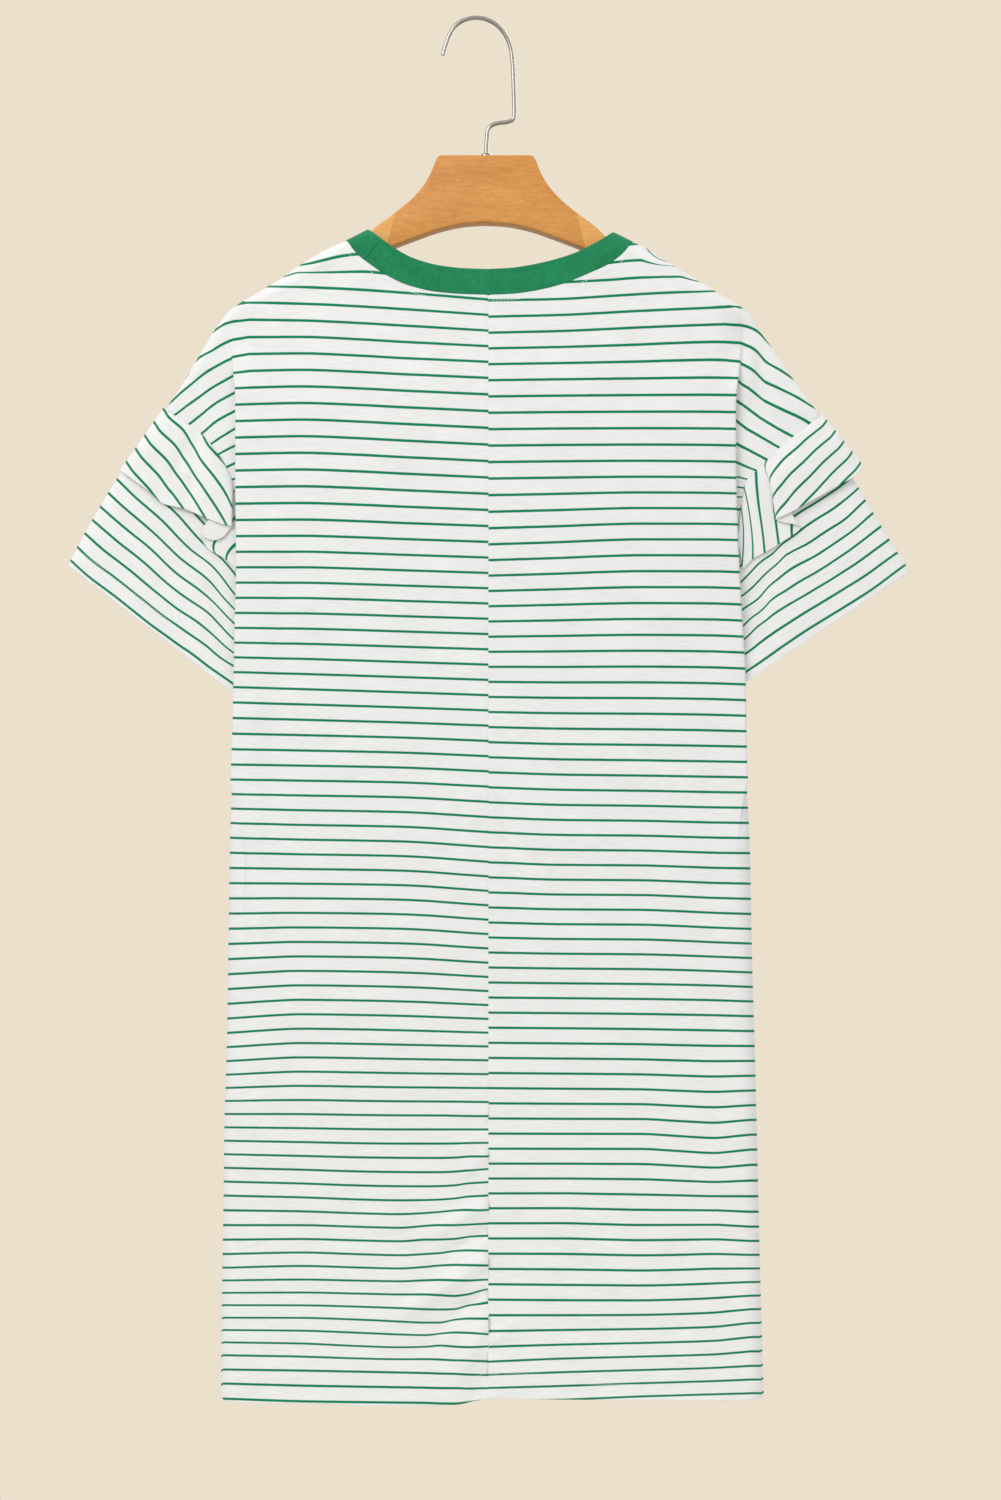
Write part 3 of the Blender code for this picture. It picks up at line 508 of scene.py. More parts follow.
# Soft ridges (height above 0) and troughs in the cloth. Each fades in from its first end over a share of its
# length.
CREASES = {
    "back_left": (
        Crease(-146.3, 392.0, -165.0, 700.0, 6.5, -2.4, 0.3),
        Crease(-160.5, 585.0, -140.0, 772.0, 8.5, -1.2, 0.4),
        Crease(-174.0, 360.0, -172.0, 780.0, 8.0, 1.0, 0.4),
        Crease(8.0, 838.8, -28.7, 834.3, 4.5, 1.5, 0.02),
        Crease(8.0, 867.9, -17.2, 890.8, 4.5, 1.9, 0.02),
        Crease(8.0, 905.5, -44.0, 936.7, 5.5, 2.8, 0.02),
        Crease(8.0, 927.6, -36.3, 953.6, 5.0, -2.2, 0.02),
        Crease(8.0, 947.7, -74.6, 1001.7, 6.5, 3.4, 0.02),
        Crease(8.0, 973.5, -36.3, 1005.6, 5.5, -3.0, 0.02),
        Crease(-20.0, 995.0, -45.0, 1022.0, 6.0, -1.5, 0.4),
        Crease(8.0, 994.1, -24.9, 1056.0, 7.0, 3.0, 0.02),
        Crease(8.0, 1036.0, -12.0, 1070.0, 5.0, -1.6, 0.02),
        Crease(-92.0, 186.0, -150.0, 236.0, 9.0, -0.7, 0.1),
        Crease(-226.8, 262.0, -214.0, 306.0, 4.5, -1.6, 0.4),
    ),
    "back_right": (
        Crease(14.0, 562.0, 36.0, 712.0, 6.5, -2.0, 0.35),
        Crease(30.0, 560.0, 64.0, 690.0, 10.0, 0.6, 0.4),
        Crease(193.5, 236.0, 187.0, 330.0, 6.0, -1.8, 0.3),
        Crease(219.6, 246.0, 214.0, 320.0, 4.5, -2.0, 0.3),
        Crease(209.5, 240.0, 206.0, 318.0, 4.0, 1.3, 0.3),
        Crease(8.0, 1014.0, 32.0, 999.0, 4.5, 1.4, 0.02),
        Crease(8.0, 1022.0, 26.0, 1066.0, 5.0, 1.7, 0.02),
        Crease(100.0, 196.0, 150.0, 246.0, 9.0, -0.6, 0.1),
        Crease(176.0, 470.0, 190.0, 640.0, 8.0, -0.8, 0.4),
    ),
    "front": (
        Crease(-146.0, 380.0, -156.0, 640.0, 9.0, -1.3, 0.4),
        Crease(165.0, 430.0, 176.0, 720.0, 9.0, -1.2, 0.4),
        Crease(-70.0, 268.0, -118.0, 380.0, 8.0, -0.9, 0.15),
        Crease(86.0, 268.0, 128.0, 370.0, 8.0, -0.9, 0.15),
        Crease(-12.0, 300.0, -24.0, 470.0, 12.0, -0.8, 0.3),
        Crease(34.0, 320.0, 52.0, 560.0, 12.0, 0.8, 0.3),
        Crease(-60.0, 700.0, -84.0, 980.0, 14.0, -1.0, 0.4),
        Crease(70.0, 760.0, 96.0, 1040.0, 13.0, 0.9, 0.4),
        Crease(-194.0, 236.0, -188.0, 326.0, 6.0, -1.1, 0.3),
        Crease(196.0, 236.0, 190.0, 326.0, 6.0, -1.1, 0.3),
    ),
    "ruffle_left": (
        Crease(-214.6, 313.3, -239.1, 364.5, 6.0, -1.6, 0.3),
        Crease(-216.0, 322.0, -221.0, 380.0, 5.0, -1.8, 0.3),
        Crease(-207.0, 326.0, -202.0, 386.0, 5.5, 1.4, 0.3),
    ),
    "ruffle_right": (Crease(226.0, 322.0, 240.0, 372.0, 6.0, -0.8, 0.3),),
    "sleeve_left": (
        Crease(-256.7, 448.7, -211.5, 401.2, 7.0, -0.8, 0.3),
        Crease(-194.7, 478.5, -204.6, 419.6, 6.0, -1.0, 0.3),
    ),
    "sleeve_right": (
        Crease(213.8, 444.1, 227.6, 416.5, 7.0, -1.0, 0.3),
        Crease(222.2, 448.6, 235.0, 413.2, 6.0, 0.7, 0.3),
        Crease(206.0, 432.0, 212.0, 496.0, 8.0, -1.5, 0.2),
    ),
}

# Wooden body of the hanger, from its axis outwards: the top edge with the tip's corner, then the lower edge
HANGER_TOP = (
    Outline(34.6, 105.6),
    Outline(36.4, 106.3),
    Outline(38.0, 108.8),
    Outline(42.4, 119.3),
    Outline(46.9, 127.3),
    Outline(54.1, 136.2),
    Outline(64.5, 145.6),
    Outline(76.0, 154.2),
    Outline(86.4, 162.2),
    Outline(90.4, 166.8),
    Outline(101.0, 172.4),
    Outline(111.0, 177.4),
    Outline(138.8, 190.6),
    Outline(163.5, 206.4),
    Outline(182.0, 218.8),
    Outline(186.5, 223.0),
    Outline(188.0, 229.0),
)
HANGER_LOWER = (
    Outline(188.0, 243.0),
    Outline(186.5, 248.5),
    Outline(182.5, 250.5),
    Outline(177.0, 247.5),
    Outline(158.0, 230.0),
    Outline(130.0, 208.5),
    Outline(100.0, 190.0),
    Outline(75.0, 177.2),
    Outline(55.0, 169.2),
    Outline(32.0, 161.4),
    Outline(14.0, 158.0),
    Outline(0.0, 157.2),
)

# Hook: the wire's centre from its tip over the crown and down its shank into the wood
HOOK_ROUTE = (
    Place(-27.2, 27.2),
    Place(-24.9, 19.3),
    Place(-21.0, 9.6),
    Place(-16.2, 3.4),
    Place(-9.0, -0.4),
    Place(0.0, -HOOK_RADIUS),
    Place(9.3, 0.9),
    Place(16.8, 6.3),
    Place(21.8, 13.4),
    Place(25.1, 22.6),
    Place(26.4, 32.5),
    Place(27.3, 51.6),
    Place(27.7, 64.0),
    Place(27.8, 71.6),
    Place(26.9, 76.2),
    Place(23.5, 78.2),
    Place(15.5, 79.5),
    Place(10.2, 81.3),
    Place(7.6, 84.9),
    Place(6.8, 91.0),
    Place(6.2, 99.0),
    Place(HANGER_X, 105.0),
    Place(HANGER_X, 112.0),
)


def linear_from_hex(text):
    """Linear colour of an sRGB hex value."""
    shares = [int(text[place : place + 2], 16) / 255 for place in (0, 2, 4)]
    return tuple(s / 12.92 if s <= 0.04045 else ((s + 0.055) / 1.055) ** 2.4 for s in shares)


def smooth(share):
    """Ease from 0 to 1."""
    share = min(1.0, max(0.0, share))
    return share * share * (3 - 2 * share)


def arch(share):
    """Quarter circle from 0 to 1, level at its end."""
    share = min(1.0, max(0.0, share))
    return math.sqrt(1 - (1 - share) ** 2)


def mix(first, second, share):
    return first + (second - first) * share


class Line:
    """A smooth line through (place, value) pairs that never overshoots them. It may turn one corner."""

    def __init__(self, places, values, corner=None, runs_on=False):
        self.places = list(places)
        self.values = list(values)
        self.runs_on = runs_on
        last = len(self.places) - 1
        slopes = []
        for index in range(last):
            rise = self.values[index + 1] - self.values[index]
            slopes.append(rise / (self.places[index + 1] - self.places[index]))
        self.arriving = [slopes[max(0, index - 1)] for index in range(last + 1)]
        self.leaving = [slopes[min(last - 1, index)] for index in range(last + 1)]
        for index in range(1, last):
            before, after = slopes[index - 1], slopes[index]
            if corner is not None and abs(self.places[index] - corner) < 0.01:
                continue
            level = 0.0 if before * after <= 0 else 2 * before * after / (before + after)
            self.arriving[index] = self.leaving[index] = level

    def __call__(self, place):
        if place <= self.places[0]:
            return self.values[0] + self.runs_on * self.leaving[0] * (place - self.places[0])
        if place >= self.places[-1]:
            return self.values[-1] + self.runs_on * self.arriving[-1] * (place - self.places[-1])
        index = bisect_right(self.places, place) - 1
        span = self.places[index + 1] - self.places[index]
        share = (place - self.places[index]) / span
        rest = 1 - share
        out = self.leaving[index] * span * share * rest * rest
        into = self.arriving[index + 1] * span * share * share * rest
        return mix(self.values[index], self.values[index + 1], smooth(share)) + out - into


def line_of(table, column, key="drop", corner=None):
    """A line through one column of a table against its key column."""
    return Line([getattr(row, key) for row in table], [getattr(row, column) for row in table], corner)


EDGE_LINES = {side: line_of(EDGE, side, corner=SLEEVES[side].shoulder_drop) for side in SIGNS}
BODY_EDGE_LINES = {side: line_of(BODY_EDGE, side) for side in SIGNS}
HALF_DEPTH = line_of(LEVELS, "half_depth")
SHELF = line_of(LEVELS, "shelf")
ROUNDING = line_of(LEVELS, "rounding")
FOLDED = line_of(TUCKS, "folded")
TUCK_DEPTH = line_of(TUCKS, "depth")
GUSSET = line_of(TUCKS, "gusset")
HEM_LINE = line_of(HEM, "drop", key="x")


class StripeField:
    """Which stripe a point lies on, as a number: whole on a stripe, and between two stripes in the white.

    The charts hold in the plane STRIPE_PLANE in front of the middle, as seen from the camera. A stripe
    follows a smooth line through the places of its own block.
    """

    def __init__(self, *blocks):
        self.across = sorted({place for block in blocks for place in block.across})
        numbers = []
        rows = []
        for block in blocks:
            for number, *drops in block.rows:
                stripe = Line(block.across, drops)
                numbers.append(number)
                rows.append([stripe(place) for place in self.across])
        self.lines = [Line(drops, numbers, runs_on=True) for drops in zip(*rows)]

    def __call__(self, x, drop, depth):
        scale = (CAMERA_DISTANCE - STRIPE_PLANE) / (CAMERA_DISTANCE - depth)
        x = CAMERA_X + (x - CAMERA_X) * scale
        drop = CAMERA_DROP + (drop - CAMERA_DROP) * scale
        x = min(self.across[-1] + STRIPES_RUN_ON, max(self.across[0] - STRIPES_RUN_ON, x))
        return Line(self.across, [line(drop) for line in self.lines], runs_on=True)(x)


BODY_FIELDS = {side: StripeField(*BACK_STRIPES[side]) for side in SIGNS}
SHOULDER_FIELDS = {side: StripeField(SHOULDER_STRIPES[side]) for side in SIGNS}
SLEEVE_FIELDS = {side: StripeField(SLEEVE_STRIPES[side]) for side in SIGNS}


def edge_outward(side, drop):
    """Outward distance of the outer edge, which is the body's edge below the underarm."""
    line = EDGE_LINES[side] if drop <= UNDERARM_DROP else BODY_EDGE_LINES[side]
    return SIGNS[side] * line(drop)


def body_edge_outward(side, drop):
    return SIGNS[side] * BODY_EDGE_LINES[side](drop)


def armhole_rise(side, drop):
    """How far the cloth at the armhole seam has left the middle plane, from 0 to 1."""
    past_shoulder = arch((drop - SLEEVES[side].shoulder_drop) / SHOULDER_ROUNDING)
    before_underarm = arch((UNDERARM_DROP - drop) / UNDERARM_ROUNDING)
    return past_shoulder * before_underarm


def open_depth(side, drop, outward):
    """Depth of the cloth where no tuck is folded: it rounds off at the edge and passes over the hanger."""
    half_depth = HALF_DEPTH(drop)
    shelf = SHELF(drop)
    from_edge = edge_outward(side, drop) - outward
    over_arm = smooth((body_edge_outward(side, drop) + TURN_RADIUS - outward) / ARM_ROUNDING)
    return shelf * arch(from_edge / ROUNDING(drop)) + (half_depth - shelf) * over_arm


def body_columns(start, end):
    """Outward places from start to where the cloth starts to round off, closer together near the start."""
    last = end - min(ARM_ROUNDING, MOST_ARM_SHARE * (end - start))
    nearest = min(1.0, (last - start) / SEAM_ROOM)
    places = [start + place * nearest for place in SEAM_COLUMNS]
    count = BODY_COLUMNS - len(SEAM_COLUMNS)
    for column in range(1, count + 1):
        share = column / count
        places.append(mix(places[len(SEAM_COLUMNS) - 1], last, mix(share, share * share, 0.5)))
    return places


def open_section(side, drop, start):
    """(outward, depth) points of a section with no tuck, with the tuck's columns close together."""
    end = edge_outward(side, drop)
    tuck_room = max(ROUNDING(drop), end - body_edge_outward(side, drop) + TURN_RADIUS)
    span = min(tuck_room, MOST_TUCK_SHARE * (end - start))
    places = body_columns(start, end - span)
    turns = min(TURNS_ROOM, 0.3 * span)
    for column in range(COLUMNS_PAST_BODY - OUTER_COLUMNS + 1):
        places.append(end - span + turns * column / (COLUMNS_PAST_BODY - OUTER_COLUMNS))
    for column in range(1, OUTER_COLUMNS + 1):
        places.append(end - (span - turns) * (1 - math.sin(math.pi / 2 * column / OUTER_COLUMNS)))
    return [(place, max(open_depth(side, drop, place), SEAM_HALF_GAP)) for place in places]


def tucked_section(side, drop, start):
    """(outward, depth) points of a section whose edge turns back behind itself."""
    half_depth = HALF_DEPTH(drop)
    tuck = TUCK_DEPTH(drop)
    edge = body_edge_outward(side, drop)
    inner = edge - tuck + TURN_RADIUS
    points = [(outward, half_depth) for outward in body_columns(start, edge - TURN_RADIUS)]
    for step in range(TURN_STEPS + 1):
        angle = math.pi * step / TURN_STEPS
        outward = edge - TURN_RADIUS * (1 - math.sin(angle))
        points.append((outward, half_depth - TURN_RADIUS * (1 - math.cos(angle))))
    raised = armhole_rise(side, drop) if drop < UNDERARM_DROP else 0.0
    end = edge_outward(side, drop) if drop < UNDERARM_DROP else edge - tuck
    end_depth = max(SHELF_DEPTH * raised, SEAM_HALF_GAP)
    hairpin = hairpin_points(inner, half_depth, end, end_depth)
    gusset = gusset_points(inner, half_depth, (edge - tuck if drop >= UNDERARM_DROP else end, end_depth))
    share = GUSSET(drop)
    return points + [
        (mix(first[0], second[0], share), mix(first[1], second[1], share))
        for first, second in zip(hairpin, gusset)
    ]


def hairpin_points(inner, half_depth, end, end_depth):
    """The tuck's inner turn, then the drop shoulder, which rounds off to the depth at its edge."""
    points = []
    for step in range(TURN_STEPS + 1):
        angle = math.pi * step / TURN_STEPS
        depth = half_depth - TURN_RADIUS * (3 - math.cos(angle))
        points.append((inner - TURN_RADIUS * math.sin(angle), depth))
    shelf = points[-1]
    flat = OUTER_COLUMNS // 2
    ridge = max(shelf[0], end - RIDGE_WIDTH)
    for column in range(1, OUTER_COLUMNS + 1):
        if column <= flat:
            share = column / flat
            points.append((mix(shelf[0], ridge, share), mix(shelf[1], SHELF_DEPTH, share)))
            continue
        angle = math.pi / 2 * (column - flat) / (OUTER_COLUMNS - flat)
        points.append((mix(ridge, end, math.sin(angle)), mix(end_depth, SHELF_DEPTH, math.cos(angle))))
    return points


def gusset_points(inner, half_depth, end):
    """The tuck's inner layer, rounding off to the side seam."""
    start = (inner + GUSSET_ROUNDING - TURN_RADIUS, half_depth - 2 * TURN_RADIUS)
    steps = TURN_STEPS + OUTER_COLUMNS
    points = []
    for step in range(steps + 1):
        angle = math.pi / 2 * step / steps
        points.append((mix(start[0], end[0], math.sin(angle)), mix(end[1], start[1], math.cos(angle))))
    return points


def crease_height(creases, x, drop):
    """Sum of the soft ridges and troughs at a place."""
    height = 0.0
    for crease in creases:
        run_x, run_drop = crease.x2 - crease.x1, crease.drop2 - crease.drop1
        length = run_x * run_x + run_drop * run_drop
        share = ((x - crease.x1) * run_x + (drop - crease.drop1) * run_drop) / length
        if not 0.0 < share < 1.0:
            continue
        aside = abs((x - crease.x1) * run_drop - (drop - crease.drop1) * run_x) / math.sqrt(length)
        if aside > 3 * crease.width:
            continue
        ends = smooth(share / crease.fade) * smooth((1 - share) / 0.45)
        height += crease.height * ends * math.exp(-((aside / crease.width) ** 2))
    return height


def groove(x):
    """How far the centre back seam draws the cloth in."""
    return GROOVE_DEPTH * math.exp(-abs(x - CENTRE_X) / GROOVE_WIDTH)


def body_stripe(side, face, x, drop, depth):
    """Stripe number on the body. The front's stripes meet the back's at the sides, evenly spaced above."""
    if face == BACK:
        return BODY_FIELDS[side](x, drop, depth)
    numbers = []
    for part in (side, "left" if side == "right" else "right"):
        at = max(drop, FRONT_EVEN_ABOVE)
        number = BODY_FIELDS[part](SIGNS[part] * body_edge_outward(part, at), at, depth)
        numbers.append(number + (drop - at) / FRONT_PITCH)
    share = smooth(SIGNS[side] * (x - CENTRE_X) / FRONT_BLEND)
    return mix(sum(numbers) / 2, numbers[0], share)


def open_stripe(side, face, x, drop, depth):
    """Stripe number where the cloth is open: the body's, and past the body's edge the drop shoulder's."""
    on_body = body_stripe(side, face, x, drop, depth)
    shoulder = SHOULDER_FIELDS[side]
    innermost = min(abs(place) for place in shoulder.across)
    share = smooth((SIGNS[side] * x - innermost) / SHOULDER_BLEND + 0.5)
    share *= smooth((drop - SHOULDER_BLEND_DROP) / SHOULDER_BLEND_SPAN)
    if share == 0.0 or drop > OPEN_SHOULDER_END:
        return on_body
    return mix(on_body, shoulder(x, drop, depth), share)


def panel_row(side, face, drop, start_x, creases):
    """One row of a half panel, as (x, y, z, u, v) points from start_x to the outer edge."""
    sign = SIGNS[side]
    start = sign * start_x
    folded = FOLDED(drop)
    opened = open_section(side, drop, start)
    tucked = tucked_section(side, drop, start) if folded > 0 else opened
    turn = BODY_COLUMNS + TURN_STEPS
    last = len(opened) - 1
    edge_number = None
    row = []
    run = abs(start_x - CENTRE_X)
    before = None
    widest = max(mix(flat[0], fold[0], folded) for flat, fold in zip(opened, tucked))
    missing = max(0.0, edge_outward(side, drop) - widest)
    for column, (flat, fold) in enumerate(zip(opened, tucked)):
        outward, depth = mix(flat[0], fold[0], folded), mix(flat[1], fold[1], folded)
        outward += missing * smooth(2 * column / BODY_COLUMNS - 1)
        x = sign * outward
        number = open_stripe(side, face, sign * flat[0], drop, flat[1])
        if folded > 0:
            if column <= turn:
                hidden = body_stripe(side, face, sign * fold[0], drop, fold[1])
                edge_number = hidden
            else:
                shown_x = sign * max(fold[0], body_edge_outward(side, drop) - SHELF_SHOWS_FROM)
                on_shelf = SHOULDER_FIELDS[side](shown_x, drop, fold[1])
                below = smooth((drop - SHELF_BLEND_DROP) / SHELF_BLEND_SPAN)
                on_shelf = mix(on_shelf, edge_number, below)
                hidden = mix(edge_number, on_shelf, smooth((column - turn) / TURN_STEPS))
            number = mix(number, hidden, folded)
        shown = 1.0 if column <= BODY_COLUMNS or (column > turn + TURN_STEPS and column < last - 1) else 0.0
        if shown:
            depth += crease_height(creases, x, drop)
        if face == BACK:
            depth -= groove(x)
        point = (x, face * depth, -drop)
        if before is not None:
            run += math.dist(point, before)
        before = point
        row.append((*point, run, number * STRIPE_PITCH))
    return row


def lengths_along(points):
    """Length of the way from the first point to each point."""
    lengths = [0.0]
    for before, after in zip(points, points[1:]):
        lengths.append(lengths[-1] + math.dist(before, after))
    return lengths


def band_line(band):
    """Lines for each column of a neckband table against the length along its seam, and that length."""
    lengths = lengths_along([row[:2] for row in band])
    lines = [Line(lengths, [row[column] for row in band]) for column in range(4)]
    return lines, lengths[-1]


def front_band(side):
    """The neckband over the front, from the shoulder to the centre, as a deep round curve."""
    first = BACK_BAND[side][0]
    rows = []
    for step in range(33):
        share = math.sin(math.pi / 2 * step / 32)
        width = (1 - share**FRONT_NECK_POWER) ** 0.5
        rows.append(
            Band(
                mix(CENTRE_X, first.seam_x, width),
                mix(first.seam_drop, FRONT_NECK_DROP, share),
                mix(CENTRE_X, first.top_x, width),
                mix(first.top_drop, FRONT_BAND_DROP, share),
            )
        )
    return tuple(rows)


def band_places(band, count):
    """Band rows along a smooth curve, closer together where the band turns over the shoulder."""
    lines, length = band_line(band)
    places = []
    for step in range(count + 1):
        share = step / count
        place = length * mix(share * share, share, 0.55)
        places.append(Band(*(line(place) for line in lines)))
    return places


def drops_below(top, bottom, corners, fine_from):
    """Drops from top to bottom, evenly spaced, with rows at the corners and finer ones from one drop on."""
    stops = sorted([top, *[c for c in corners if top < c < bottom], fine_from, bottom])
    drops = []
    for first, second in zip(stops, stops[1:]):
        spacing = FINE_ROW_SPACING if second > fine_from else ROW_SPACING
        count = max(1, round((second - first) / spacing))
        drops += [mix(first, second, step / count) for step in range(1, count + 1)]
    return drops[:-1] + [bottom - EDGE_MARGIN, bottom]


def half_panel(side, face):
    """Rows of one half of the back or front, from the neck's edge down to the hem."""
    band = BACK_BAND[side] if face == BACK else front_band(side)
    creases = CREASES["front"] if face == FRONT else CREASES["back_" + side]
    places = band_places(band, NECK_ROWS)[1:]
    starts = [(place.seam_drop, place.seam_x) for place in places]
    sleeve = SLEEVES[side]
    shoulder = sleeve.shoulder_drop
    corners = (shoulder, shoulder + 1.5, shoulder + 4, UNDERARM_DROP - 0.5, UNDERARM_DROP)
    fine_from = PUCKERS_FROM if face == BACK else FRONT_HEM_DROP - HEM_BAND
    starts += [(drop, CENTRE_X) for drop in drops_below(starts[-1][0], FRONT_HEM_DROP, corners, fine_from)]
    rows = [panel_row(side, face, drop, x, creases) for drop, x in starts]
    if face == BACK:
        rows = [to_hem(row) for row in rows]
    return rows


def to_hem(row):
    """Stretches the last rows so that the lowest one follows the hem."""
    moved = []
    for x, y, z, u, v in row:
        share = smooth(1 - (FRONT_HEM_DROP + z) / 120.0) if z < -FRONT_HEM_DROP + 120.0 else 0.0
        drop = -z + (HEM_LINE(x) - FRONT_HEM_DROP) * share
        if share > 0 and abs(y) > 8.0:
            side = "left" if x < CENTRE_X else "right"
            v = body_stripe(side, BACK, x, drop, abs(y)) * STRIPE_PITCH
        moved.append((x, y, -drop, u, v))
    return moved


def armhole_point(side, drop):
    """(outward, drop) on the armhole seam, as a vector."""
    return Vector((SIGNS[side] * EDGE_LINES[side](drop), drop))


def steps_to_edge(count, length):
    """Even shares of a length, with one more close to its end that keeps the free edge crisp."""
    return [step / count for step in range(count)] + [1 - EDGE_MARGIN / length, 1.0]


def sleeve_half(side):
    """(seam point, cuff point, seam rise, cuff rise) stations from the shoulder fold to the underarm."""
    sleeve = SLEEVES[side]
    sign = SIGNS[side]
    drops = []
    for step in range(SLEEVE_STATIONS):
        share = step / SLEEVE_STATIONS
        share = mix(share, (1 - math.cos(math.pi * share)) / 2, 0.75)
        drops.append(mix(sleeve.shoulder_drop, SLEEVE_UNDERARM_DROP, share))
    seam = [armhole_point(side, drop) for drop in drops]
    rises = [armhole_rise(side, drop) for drop in drops]
    seam.append(Vector((sign * sleeve.underarm_x, SLEEVE_UNDERARM_DROP)))
    rises.append(0.0)
    lengths = lengths_along(seam)
    outer = Vector((sign * sleeve.cuff_outer[0], sleeve.cuff_outer[1]))
    inner = Vector((sign * sleeve.cuff_inner[0], sleeve.cuff_inner[1]))
    cuff_length = (inner - outer).length
    stations = []
    for point, rise, length in zip(seam, rises, lengths):
        share = length / lengths[-1]
        from_end = min(share, 1 - share) * cuff_length
        stations.append((point, outer.lerp(inner, share), rise, arch(from_end / SHOULDER_ROUNDING)))
    return stations


def sleeve_rings(side):
    """Closed rings of a sleeve as (x, y, z, u, v) points, from the armhole seam to the cuff."""
    sign = SIGNS[side]
    stations = sleeve_half(side)
    last = len(stations) - 1
    rings = []
    for step in steps_to_edge(SLEEVE_STEPS, SLEEVE_LENGTH):
        bow = 4 * step * (1 - step) * SLEEVES[side].bow
        depth = mix(SLEEVE_DEPTH, CUFF_DEPTH, smooth((step - CUFF_FLARE_START) / CUFF_FLARE_SPAN))
        half = []
        run = 0.0
        before = None
        for index, (seam, cuff, seam_rise, cuff_rise) in enumerate(stations):
            ease = UNDERARM_EASE * smooth((seam.y - UNDERARM_EASE_DROP) / UNDERARM_EASE_SPAN)
            start = seam + (cuff - seam).normalized() * (SEWN_OFFSET + ease)
            point = start.lerp(cuff, step)
            point.x += bow * (1 - index / last)
            rise = mix(seam_rise, cuff_rise, smooth(step / RISE_SPAN))
            raised = depth * rise + rise * crease_height(CREASES["sleeve_" + side], sign * point.x, point.y)
            place = (sign * point.x, raised, -point.y)
            if before is not None:
                run += math.dist(place, before)
            before = place
            number = SLEEVE_FIELDS[side](sign * point.x, point.y, raised)
            half.append((*place, run, number * STRIPE_PITCH))
        back = [(x, BACK * y, z, u, v) for x, y, z, u, v in half]
        front = [(x, FRONT * y, z, -u, v) for x, y, z, u, v in half[1:-1]]
        rings.append(back + front[::-1])
    return rings


def ruffle_rows(side):
    """Rows of a ruffle, from the back underarm over the shoulder fold to the front underarm."""
    sign = SIGNS[side]
    waves = RUFFLES[side]
    lengths = lengths_along([(wave.hem_x, wave.hem_drop, wave.hem_depth) for wave in waves])
    lines = [Line(lengths, [wave[column] for wave in waves]) for column in range(7)]
    half = []
    for station in range(RUFFLE_STATIONS + 1):
        place = lengths[-1] * station / RUFFLE_STATIONS
        wave = Wave(*(line(place) for line in lines))
        rise = armhole_rise(side, wave.seam_drop)
        seam = armhole_point(side, wave.seam_drop)
        hem = Vector((sign * wave.hem_x, wave.hem_drop))
        direction = (hem - seam).normalized()
        over_sleeve = Vector((direction.y, -direction.x)) * RUFFLE_LIFT * math.sqrt(1 - rise * rise)
        start = seam - direction * SEWN_OFFSET + over_sleeve
        row = []
        for step in steps_to_edge(RUFFLE_STEPS, (hem - start).length):
            point = start.lerp(hem, step)
            point.x += wave.bow * 6.75 * step * step * (1 - step)
            seam_depth = mix(RUFFLE_SEAM_DEPTH, RUFFLE_BODY_DEPTH, smooth(step / 0.12))
            depth = mix(seam_depth * rise, wave.hem_depth, smooth(step / RISE_SPAN))
            depth += rise * crease_height(CREASES["ruffle_" + side], sign * point.x, point.y)
            number = mix(wave.seam_stripe, wave.hem_stripe, step)
            row.append((sign * point.x, depth, -point.y, place, number * STRIPE_PITCH))
        half.append(row)
    back = [[(x, BACK * y, z, u, v) for x, y, z, u, v in row] for row in half]
    front = [[(x, FRONT * y, z, -u, v) for x, y, z, u, v in row] for row in half[1:]]
    return back[::-1] + front


def band_row(side, face, band, run):
    """The neckband's section at one place, from its seam to its top edge."""
    seam = Vector((band.seam_x, band.seam_drop))
    top = Vector((band.top_x, band.top_drop))
    seam -= (top - seam).normalized() * 0.7
    row = []
    for step in range(BAND_STEPS + 1):
        share = step / BAND_STEPS
        x, drop = seam.lerp(top, share)
        depth = open_depth(side, drop, SIGNS[side] * x)
        row.append((x, face * depth, -drop, run, share * (top - seam).length))
    return row


def neckband_rows():
    """Rows all round the neck: along the back from left to right, and along the front from right to left."""
    quarters = (
        ("left", BACK, band_places(BACK_BAND["left"], BAND_ROWS)),
        ("right", BACK, band_places(BACK_BAND["right"], BAND_ROWS)[-2::-1]),
        ("right", FRONT, band_places(front_band("right"), BAND_ROWS)[1:]),
        ("left", FRONT, band_places(front_band("left"), BAND_ROWS)[-2:0:-1]),
    )
    rows = []
    run = 0.0
    before = None
    for side, face, places in quarters:
        for band in places:
            if before is not None:
                run += math.dist((band.seam_x, band.seam_drop), (before.seam_x, before.seam_drop))
            before = band
            rows.append(band_row(side, face, band, run))
    return rows


# ---------------------------------------------------------------- materials


def node(tree, kind, settings=None, **links):
    """A shader node with its settings, and its sockets set to values or linked from other nodes' outputs."""
    made = tree.nodes.new(kind)
    for name, value in (settings or {}).items():
        setattr(made, name, value)
    for name, value in links.items():
        key = int(name[1:]) if name[0] == "_" else name.replace("_", " ")
        socket = made.inputs[key]
        if isinstance(value, bpy.types.NodeSocket):
            tree.links.new(value, socket)
        else:
            socket.default_value = value
    return made


def new_material(name):
    """A material with only its shader and output, and that shader."""
    material = bpy.data.materials.new(name)
    material.use_nodes = True
    tree = material.node_tree
    return material, tree, tree.nodes["Principled BSDF"]


def maths(tree, operation, first, second=0.0, third=0.0):
    return node(tree, "ShaderNodeMath", {"operation": operation}, _0=first, _1=second, _2=third).outputs[0]


